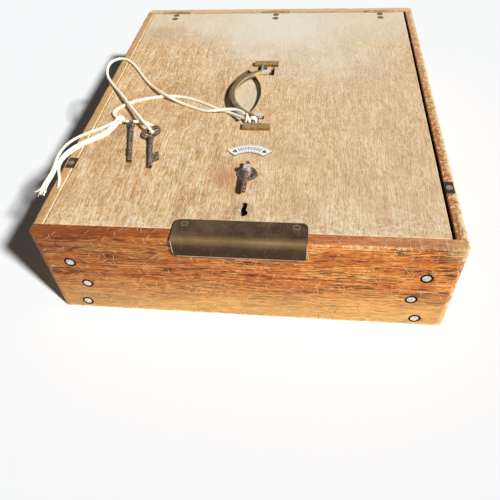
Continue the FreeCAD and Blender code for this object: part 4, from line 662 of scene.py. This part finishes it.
# Turned steel boss: smooth and bright with a few dark pits
boss_steel = metal("turned_steel_boss", [(0, "#9a9188"), (1, "#f2ede4")],
                   roughness=0.26, blotch=2, specks=("#4a3c33", 0.8, 0.6), metallic=0.6)
# Cast iron keys, rusted and rubbed: dark brown with pale glints
key_iron = metal("rusted_iron_key", [(0, "#241610"), (0.5, "#553b31"), (1, "#9a8175")], roughness=0.34,
                 blotch=2.6, specks=("#e6dccf", 0.9, 0.56), metallic=0.5, relief=0.12, edge=("#8f7a6c", 0.4))
# White enamel fired on sheet metal: smooth, bright and slightly glossy
label_paint = metal("white_enamelled_label", [(0, "#f2f0ea"), (1, "#fefdf9")], roughness=0.35,
                    blotch=8, specks=("#c2bcb0", 0.7, 0.66), metallic=0.0, relief=0.02, marks=label_marks)
# Printing ink: dark grey, matt and a little patchy
label_ink = metal("grey_printed_mark", [(0, "#3d3a36"), (1, "#635e57")],
                  roughness=0.5, blotch=2, specks=("#8f8a80", 0.5, 0.66), metallic=0.0, relief=0.01)

FINISHES = {
    lid_wood: ["lid_panel"],
    front_wood: ["front_board"],
    back_wood: ["back_board"],
    left_wood: ["left_side"],
    right_wood: ["right_side"],
    base_wood: ["base_panel"],
    rivet_steel: ["corner_rivets"],
    washer_black: ["rivet_washers", "drill_pin"],
    strike_black: ["left_strike_plate", "right_strike_plate"],
    strike_screw: ["case_screws"],
    plate_brass: ["edge_plate"],
    plate_rivet: ["edge_plate_rivets"],
    lug_brass: ["front_handle_lug", "back_handle_lug", "lug_rivets"],
    bail_brass: ["bail_handle"],
    rivet_dark: ["hinge_lid_rivets"],
    rose_brass: ["turn_rose"],
    boss_steel: ["turn_spindle", "turn_bar_pin"],
    bar_iron: ["turn_bar"],
    key_iron: ["key_1", "key_2"],
    label_paint: ["label_plate"],
    label_ink: ["label_pins"],
    hinge_brass: [name for name in nodes if name.startswith("hinge_") and name != "hinge_lid_rivets"],
}
finish_of = {name: finish for finish, names in FINISHES.items() for name in names}
for name, node in nodes.items():
    node.data.materials.clear()
    node.data.materials.append(finish_of.get(name, rolled_steel))


WELD = 1e-6
CUT_SNAP = 1e-7
SMOOTH_ANGLE = math.radians(35)


def welded_copy(name):
    """A mesh in the making that copies a CAD node's, with its doubled points joined."""
    made = bmesh.new()
    made.from_mesh(nodes[name].data)
    bmesh.ops.remove_doubles(made, verts=made.verts, dist=WELD)
    return made


def cut_across(made, place, normal):
    """Cuts a mesh in the making along a plane and keeps both halves joined."""
    whole = made.verts[:] + made.edges[:] + made.faces[:]
    bmesh.ops.bisect_plane(made, geom=whole, plane_co=place, plane_no=normal, dist=CUT_SNAP)


def made_piece(name, made, body, material, replaced=()):
    """Turns a mesh in the making into a piece that rides on a body and stands for CAD nodes."""
    bmesh.ops.recalc_face_normals(made, faces=made.faces)
    mesh = bpy.data.meshes.new(name)
    made.to_mesh(mesh)
    made.free()
    mesh.materials.append(material)
    mesh.shade_smooth()
    mesh.set_sharp_from_angle(angle=SMOOTH_ANGLE)
    piece = bpy.data.objects.new(name, mesh)
    scene.collection.objects.link(piece)
    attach(piece, body)
    if replaced:
        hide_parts(*replaced)
    return piece


# Boards with bitten arrises

BITE = 0.9
BITE_REACH = 4.5
BITE_LENGTH = 7.0
FINE_BITE_LENGTH = BITE_LENGTH / 3
FINE_BITE_SHARE = 0.6
CUT_STEP = 3.0


def worn_board(name, along):
    """A board cut across in short steps, with its outer arrises bitten unevenly by wear."""
    made = welded_copy(name)
    low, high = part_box(name)
    for axis in (along, Z):
        normal = Vector([1 if axis == k else 0 for k in (X, Y, Z)])
        for cut in range(1, int((high[axis] - low[axis]) / (CUT_STEP * MM))):
            cut_across(made, normal * (low[axis] + cut * CUT_STEP * MM), normal)
    for vertex in made.verts:
        place = vertex.co / MM
        gaps = [(min(place[k] - CASE_LOW[k], CASE_HIGH[k] - place[k]), k) for k in (X, Y, Z)]
        (first, one), (second, two), _ = sorted(gaps)
        near = 1 - (first + second) / BITE_REACH
        if near <= 0:
            continue
        rough = noise.noise(place / BITE_LENGTH) + FINE_BITE_SHARE * noise.noise(place / FINE_BITE_LENGTH)
        inward = Vector((0, 0, 0))
        for axis in (one, two):
            inward[axis] = -1 if place[axis] > (CASE_LOW[axis] + CASE_HIGH[axis]) / 2 else 1
        vertex.co += inward.normalized() * max(0, rough) * near * BITE * MM
    made_piece(name + "_worn", made, "case", finish_of[name], [name])


worn_board("front_board", X)
worn_board("back_board", X)
worn_board("left_side", Y)
worn_board("right_side", Y)


# Metal fittings with eased edges

FLAT_ANGLE = math.radians(0.5)
SHARP_ANGLE = math.radians(40)
ROUNDING_STEPS = 2


def eased(name, body, width, shaped=None):
    """A fitting with its sharp edges rounded over by use."""
    made = welded_copy(name)
    bmesh.ops.dissolve_limit(made, angle_limit=FLAT_ANGLE, verts=made.verts, edges=made.edges)
    if shaped:
        shaped(made)
    piece = made_piece(name + "_eased", made, body, finish_of[name], [name])
    rounding = piece.modifiers.new("eased_edges", "BEVEL")
    rounding.width = width * MM
    rounding.segments = ROUNDING_STEPS
    rounding.limit_method = "ANGLE"
    rounding.angle_limit = SHARP_ANGLE
    return piece


SKIRT_DROP = 2.3
SKIRT_UNDERCUT = 2.6
SKIRT_FULL, SKIRT_END = 25, 31
SKIRT_CUT_STEP = 2
BAIL_LOWER_HALF = 87.2


def deepened(made):
    """Deepens the bail's curved part into the finger recess, undercut inside, and leaves its two arms."""
    across = Vector((0, 1, 0))
    for row in range(-SKIRT_END, SKIRT_END + 1, SKIRT_CUT_STEP):
        cut_across(made, across * row * MM, across)
    for vertex in made.verts:
        x, y, z = vertex.co / MM
        if z < BAIL_LOWER_HALF and abs(y) < SKIRT_END:
            share = min(1, (SKIRT_END - abs(y)) / (SKIRT_END - SKIRT_FULL))
            vertex.co.z -= SKIRT_DROP * share * MM
            outward = Vector((x - BAIL_CENTRE[X], y, 0))
            if outward.length < BAIL_INNER_RADIUS + 1:
                vertex.co += outward.normalized() * SKIRT_UNDERCUT * share * MM


EASED_LUG, EASED_KEY, EASED_BAIL = 0.35, 0.3, 0.7
eased("bail_handle", "bail", EASED_BAIL, deepened)
for lug in ("front_handle_lug", "back_handle_lug"):
    eased(lug, "lid", EASED_LUG)
keys = {name: eased(name, "lid", EASED_KEY) for name in ("key_1", "key_2")}

# Cotton string

# Control points on the lid: x, y and height above its top
ROUTES = {
    "string_loop": [
        (-9.6, -42.6, 4.2), (-12.4, -39.4, 4.7), (-16.9, -34.4, 4.7), (-22.6, -31.6, 4.4),
        (-29.6, -31, 3.7), (-35, -31.6, 3.4), (-40.2, -32, 3), (-46.6, -31, 1.7), (-53.5, -28.2, 1.05),
        (-61, -24.2, 1.05), (-73.5, -17.8, 1.4), (-85, -12, 3.8), (-97, -1.6, 3.8), (-106.5, 9.6, 1.5),
        (-117.3, 24.5, 1.05), (-128.2, 41.7, 1.05), (-138.2, 56, 1.05), (-146.5, 63.6, 1.05),
        (-154.5, 65.4, 1.05), (-160.8, 60.4, 0.7), (-162.6, 50.6, 0.5), (-158.4, 33, 0.7),
        (-150.5, 19.5, 1.1), (-141, 6, 1.5), (-130, -9.8, 4.5), (-116.5, -29.4, 4.8), (-109.5, -39.4, 5.6),
        (-103.4, -48.4, 6.7), (-97.4, -56.8, 6.9), (-92.8, -62.2, 6.9), (-89.4, -65.6, 5.8),
        (-87.3, -67.4, 3.4)],
    "string_return": [
        (-10.8, -44.2, 3.2), (-14, -42, 2.8), (-20.2, -37.2, 2), (-27.5, -31.8, 1.2), (-34.4, -28, 1.05),
        (-41.3, -24.4, 1.05), (-48.3, -19.6, 1.05), (-55.4, -15.2, 1.05), (-63, -11.3, 1.05),
        (-73, -7, 1.05), (-84, -5.8, 1.05), (-95, -7.4, 1.05), (-106.7, -10.4, 1.05), (-116.8, -15.2, 1.05),
        (-124.2, -21.4, 1.05), (-129.8, -27.8, 1.05), (-131.8, -34.4, 1.1), (-129, -40.4, 1.6),
        (-124.6, -45, 2.6)],
    "string_tie": [
        (-87.4, -67, 2.7), (-87.1, -62.6, 1.15), (-88.6, -57, 1.05), (-92.6, -53, 1.4), (-98.4, -51.4, 3),
        (-103.6, -52.4, 4.3), (-108.6, -53.2, 4.5), (-113.4, -52.4, 4.3), (-117.2, -51, 3.9),
        (-120.4, -49.6, 3.4)],
    "string_end_long": [
        (-124, -49.2, 3), (-128.4, -52.8, 1.8), (-134, -57.4, 1.1), (-142.2, -63.4, 1.05),
        (-149.6, -70.4, 1.4), (-154.4, -78, 2.2), (-157.4, -87, 3), (-158.6, -95.8, 3.2),
        (-158.2, -105, 3.2), (-156.8, -114.4, 3), (-156.3, -123.6, 2.6), (-157.4, -131.6, 2.2),
        (-157.7, -138.4, 1.8)],
    "string_end_middle": [
        (-123.4, -50.4, 2.8), (-126.3, -55.4, 1.4), (-130.2, -63.8, 1.05), (-136, -70.8, 1.05),
        (-143, -76.4, 1.05), (-148.4, -82.8, 1.2), (-152.2, -91.6, 2.4), (-154.2, -101.6, 3.7),
        (-154.6, -110.6, 4), (-154, -119.8, 3.4), (-154.2, -128.4, 2.7), (-155.2, -136.4, 2.1)],
    "string_end_short": [
        (-121.8, -50.4, 2.6), (-123, -55, 1.3), (-126, -63.8, 1.05), (-131.6, -72.2, 1.05),
        (-139.8, -78, 1.05), (-146, -84.8, 1.05), (-150.8, -92.8, 1.05), (-154, -100.4, 1.1),
        (-155, -107.2, 1.1), (-154, -113.6, 1.1), (-151.4, -120.6, 1.05), (-147.8, -128, 1.05),
        (-146.4, -135, 1.05)],
}


def smooth_line(name, route):
    """Points of the NURBS spline that has a route's points as its control points, in metres."""
    data = bpy.data.curves.new(name + "_line", "CURVE")
    data.dimensions = "3D"
    data.resolution_u = 12
    spline = data.splines.new("NURBS")
    spline.points.add(len(route) - 1)
    for point, (x, y, height) in zip(spline.points, route):
        point.co = (x * MM, y * MM, (LID_TOP + height) * MM, 1)
    spline.order_u = 3
    spline.use_endpoint_u = True
    line = bpy.data.objects.new(name + "_line", data)
    mesh = bpy.data.meshes.new_from_object(line)
    points = [vertex.co.copy() for vertex in mesh.vertices]
    bpy.data.objects.remove(line)
    bpy.data.curves.remove(data)
    bpy.data.meshes.remove(mesh)
    return points


PLIES = 3
PLY_RADIUS = 0.76
PLY_OFFSET = 0.44
PLY_SIDES = 8
TWIST = 6.5


def tube(made, centres, radii, sides):
    """Adds a closed tube through its centres, with a radius for each, to a mesh in the making."""
    side = (centres[1] - centres[0]).orthogonal().normalized()
    rings = []
    for i, (centre, radius) in enumerate(zip(centres, radii)):
        ahead = (centres[min(i + 1, len(centres) - 1)] - centres[max(i - 1, 0)]).normalized()
        side = (side - ahead * side.dot(ahead)).normalized()
        up = ahead.cross(side)
        outward = [side * math.cos(TURN * k / sides) + up * math.sin(TURN * k / sides) for k in range(sides)]
        rings.append([made.verts.new(centre + out * radius) for out in outward])
    for one, two in zip(rings, rings[1:]):
        for k in range(sides):
            n = (k + 1) % sides
            made.faces.new((one[k], one[n], two[n], two[k]))
    made.faces.new(rings[0][::-1])
    made.faces.new(rings[-1])


def twine(made, points, fullness=1.0):
    """Adds a three-ply twisted string along a line of points, its plies swollen by a fullness."""
    side = (points[1] - points[0]).orthogonal().normalized()
    travelled = 0
    plies = [[] for _ in range(PLIES)]
    for i, point in enumerate(points):
        ahead = (points[min(i + 1, len(points) - 1)] - points[max(i - 1, 0)]).normalized()
        side = (side - ahead * side.dot(ahead)).normalized()
        up = ahead.cross(side)
        travelled += (point - points[i - 1]).length if i else 0
        for ply, centres in enumerate(plies):
            angle = TURN * (travelled / (TWIST * MM) + ply / PLIES)
            out = side * math.cos(angle) + up * math.sin(angle)
            centres.append(point + out * PLY_OFFSET * fullness * MM)
    for centres in plies:
        tube(made, centres, [PLY_RADIUS * fullness * MM] * len(centres), PLY_SIDES)


YARN_RADIUS = 0.42
YARN_STEPS = 7
YARN_SIDES = 5
YARN_CURL = 0.8
YARN_ROOT_SPREAD = 0.8
YARN_SHORTEST = 0.5
YARN_THINNING = 0.45
YARN_FIRST_LEAN = 0.3


def tuft(made, root, towards, count, length, spread, chance):
    """Adds loose yarns that fan out of a string's cut end, each thinning to its tip."""
    side = towards.orthogonal().normalized()
    up = towards.cross(side)
    for _ in range(count):
        angle = chance.uniform(0, TURN)
        lean = spread * math.sqrt(chance.random())
        out = side * math.cos(angle) + up * math.sin(angle)
        curl = Vector([chance.uniform(-1, 1) for _ in range(3)]) * YARN_CURL
        reach = length * chance.uniform(YARN_SHORTEST, 1.0)
        place = root + out * chance.uniform(0, YARN_ROOT_SPREAD) * MM
        centres, radii = [], []
        for step in range(YARN_STEPS):
            share = step / (YARN_STEPS - 1)
            centres.append(place.copy())
            radii.append(YARN_RADIUS * (1 - YARN_THINNING * share) * MM)
            ahead = (towards + out * lean * (YARN_FIRST_LEAN + share) + curl * share * share).normalized()
            place = place + ahead * reach / (YARN_STEPS - 1) * MM
        tube(made, centres, radii, YARN_SIDES)


FIBRE_SIZE = 0.4


def cotton():
    """Twisted undyed cotton string: soft, matt and cream, a little grey where it has been handled.

    Real fibres are far finer than the size they are drawn at, so that they show."""
    material, tree, shader, mm = new_surface("twisted_cotton_string", 0.9)
    dirt = patches(tree, mm, (6, 6, 6), 3)
    colour = add(tree, RAMP, {0: dirt}, stops=[(0.25, "#f6f0d8"), (0.5, "#fffbe8"), (0.75, "#fffef0")])
    fibres = patches(tree, mm, [FIBRE_SIZE] * 3, 2)
    worn = add(tree, RANGE, {0: fibres, 1: 0.55, 2: 0.7})
    tree.links.new(layered(tree, colour, [(worn, "#e3d8c0", 0.2)]), shader.inputs["Base Color"])
    raised(tree, shader, fibres, 0.05)
    return material


cotton_string = cotton()

# Yarns, their length in mm and how far they lean out, at each cut end
TUFTS = {
    "string_end_long": (13, 10, 0.4),
    "string_end_middle": (13, 11, 0.4),
    "string_end_short": (7, 5, 0.25),
}
# How much fuller the plies are than at the three ends
FULLNESS = {"string_loop": 1.22, "string_return": 1.22, "string_tie": 1.15}
lines = {}
tufts = {}
for name, route in ROUTES.items():
    lines[name] = smooth_line(name, route)
    made = bmesh.new()
    twine(made, lines[name], FULLNESS.get(name, 1.0))
    made_piece(name + "_cotton", made, "lid", cotton_string, [name])
for name, (count, length, spread) in TUFTS.items():
    made = bmesh.new()
    towards = (lines[name][-1] - lines[name][-4]).normalized()
    tuft(made, lines[name][-1] - towards * MM, towards, count, length, spread, random.Random(name))
    tufts[name] = made_piece(name + "_tuft", made, "lid", cotton_string)

# Knot: an overhand knot pulled tight, drawn as two crossed trefoils of the same string
KNOT_AT = (-121.3, -48.2, 2.9)
KNOT_HALF = (3.6, 2.9, 1.9)
KNOT_POINTS = 24
KNOT_TURNS = (0.0, 0.55)
made = bmesh.new()
for turned in KNOT_TURNS:
    ring = []
    for k in range(KNOT_POINTS + 1):
        a = TURN * k / KNOT_POINTS
        wide = (math.sin(a) + 2 * math.sin(2 * a)) / 3
        deep = (math.cos(a) - 2 * math.cos(2 * a)) / 3
        x = wide * math.cos(turned) - deep * math.sin(turned)
        y = wide * math.sin(turned) + deep * math.cos(turned)
        place = x, y, -math.sin(3 * a)
        ring.append([KNOT_AT[axis] + place[axis] * KNOT_HALF[axis] for axis in (X, Y, Z)])
    twine(made, smooth_line("string_knot", ring))
knot = made_piece("string_knot_cotton", made, "lid", cotton_string, ["string_knot"])

# Hitch: two turns round the bail's front pivot, both runs drawn through a bight
PIVOT_X, PIVOT_HEIGHT = -4.6, 1.7
HITCH_RADIUS = 2.8
HITCH_TURNS = 2
TURN_POINTS = 13
HITCH_FROM_Y, HITCH_RUN = -43.4, 3.4
made = bmesh.new()
turns = []
for k in range(HITCH_TURNS * TURN_POINTS + 1):
    a = math.pi - TURN * k / TURN_POINTS
    row = HITCH_FROM_Y - HITCH_RUN * k / (HITCH_TURNS * TURN_POINTS)
    turns.append((PIVOT_X + HITCH_RADIUS * math.cos(a), row, PIVOT_HEIGHT + HITCH_RADIUS * math.sin(a)))
lead_in = [(-12.4, -39.4, 4.7), (-10, -42, 4.4), (-8.2, -43.2, 3)]
lead_out = [(-8.0, -46.0, 3.6), (-9.4, -45.2, 4.2), (-11.0, -44.2, 3.6), (-14, -42, 2.8)]
collar = [(-12.2, -40.2, 2.2), (-10.6, -40.4, 5.2), (-9.6, -42.4, 6), (-9.4, -44.4, 5.6), (-9.8, -46, 3.6),
          (-10.8, -46, 1.4)]
for run in (lead_in + turns + lead_out, collar):
    twine(made, smooth_line("string_hitch", run))
hitch = made_piece("string_hitch_cotton", made, "lid", cotton_string, ["string_hitch"])

CORD_FACTS = {
    "string_loop": ("fitting", [hitch, keys["key_2"]]),
    "string_return": ("knot", [knot]),
    "string_tie": ("knot", [knot, keys["key_1"]]),
    "string_end_long": ("bare", [tufts["string_end_long"]]),
    "string_end_middle": ("bare", [tufts["string_end_middle"]]),
    "string_end_short": ("bare", [tufts["string_end_short"]]),
}
for name, (far_end, carried) in CORD_FACTS.items():
    points = lines[name]
    length = sum((b - a).length for a, b in zip(points, points[1:]))

# Printed marks on the label: an arrowhead at each end and a row of ticks between two fine border lines
LABEL_AT = (-3.0, -102.5)
LABEL_INNER, LABEL_OUTER = 14.6, 24.4
LABEL_HALF_ANGLE = math.radians(48)
INK_BASE, INK_TOP = LABEL_TOP - 0.02, LABEL_TOP + 0.03
ARROW_TIP, ARROW_BACK = math.radians(44), math.radians(35)
ARROW_HALF = 2.2
ARROW_NOTCH = 0.04
BORDER_INSET, BORDER_HALF, BORDER_SHORT = 0.7, 0.15, 0.03
TICKS_EACH_SIDE = 7
TICK_STEP, TICK_HALF = math.radians(3.9), math.radians(0.75)
TICK_LONG, TICK_SHORT = 2.4, 1.7


def ink(made, corners):
    """Adds a thin printed patch, its corners given as radius and angle from the label's middle line."""
    rings = []
    for height in (INK_BASE, INK_TOP):
        places = [(LABEL_AT[X] + r * math.sin(a), LABEL_AT[Y] + r * math.cos(a), height) for r, a in corners]
        rings.append([made.verts.new(Vector(p) * MM) for p in places])
    made.faces.new(rings[1])
    made.faces.new(rings[0][::-1])
    for k in range(len(corners)):
        n = (k + 1) % len(corners)
        made.faces.new((rings[0][k], rings[0][n], rings[1][n], rings[1][k]))


def arc(radius, start, end, steps=16):
    """Points along an arc of the label."""
    return [(radius, start + (end - start) * k / steps) for k in range(steps + 1)]


made = bmesh.new()
middle = (LABEL_INNER + LABEL_OUTER) / 2
for hand in (-1, 1):
    tip, back = hand * ARROW_TIP, hand * ARROW_BACK
    notch = back - hand * ARROW_NOTCH
    ink(made, [(middle, tip), (middle + ARROW_HALF, back), (middle, notch), (middle - ARROW_HALF, back)])
for radius in (LABEL_INNER + BORDER_INSET, LABEL_OUTER - BORDER_INSET):
    span = LABEL_HALF_ANGLE - BORDER_SHORT
    ink(made, arc(radius - BORDER_HALF, -span, span) + arc(radius + BORDER_HALF, span, -span))
for k in range(-TICKS_EACH_SIDE, TICKS_EACH_SIDE + 1):
    start, end = TICK_STEP * k - TICK_HALF, TICK_STEP * k + TICK_HALF
    reach = TICK_LONG if k % 2 else TICK_SHORT
    inner, outer = middle - reach, middle + reach
    ink(made, [(inner, start), (outer, start), (outer, end), (inner, end)])
made_piece("label_print", made, "lid", label_ink)

# Floor of white paper: matt, smooth and evenly pale
FLOOR_HALF = 6
corners = [(-FLOOR_HALF, -FLOOR_HALF, 0), (FLOOR_HALF, -FLOOR_HALF, 0), (FLOOR_HALF, FLOOR_HALF, 0),
           (-FLOOR_HALF, FLOOR_HALF, 0)]
floor_mesh = bpy.data.meshes.new("floor")
floor_mesh.from_pydata(corners, [], [(0, 1, 2, 3)])
floor_material, _, floor_shader, _ = new_surface("matt_white_paper", 0.9, Specular_IOR_Level=0.1)
floor_shader.inputs["Base Color"].default_value = linear("#f9fbfc")
floor_mesh.materials.append(floor_material)
floor = bpy.data.objects.new("floor", floor_mesh)
scene.collection.objects.link(floor)
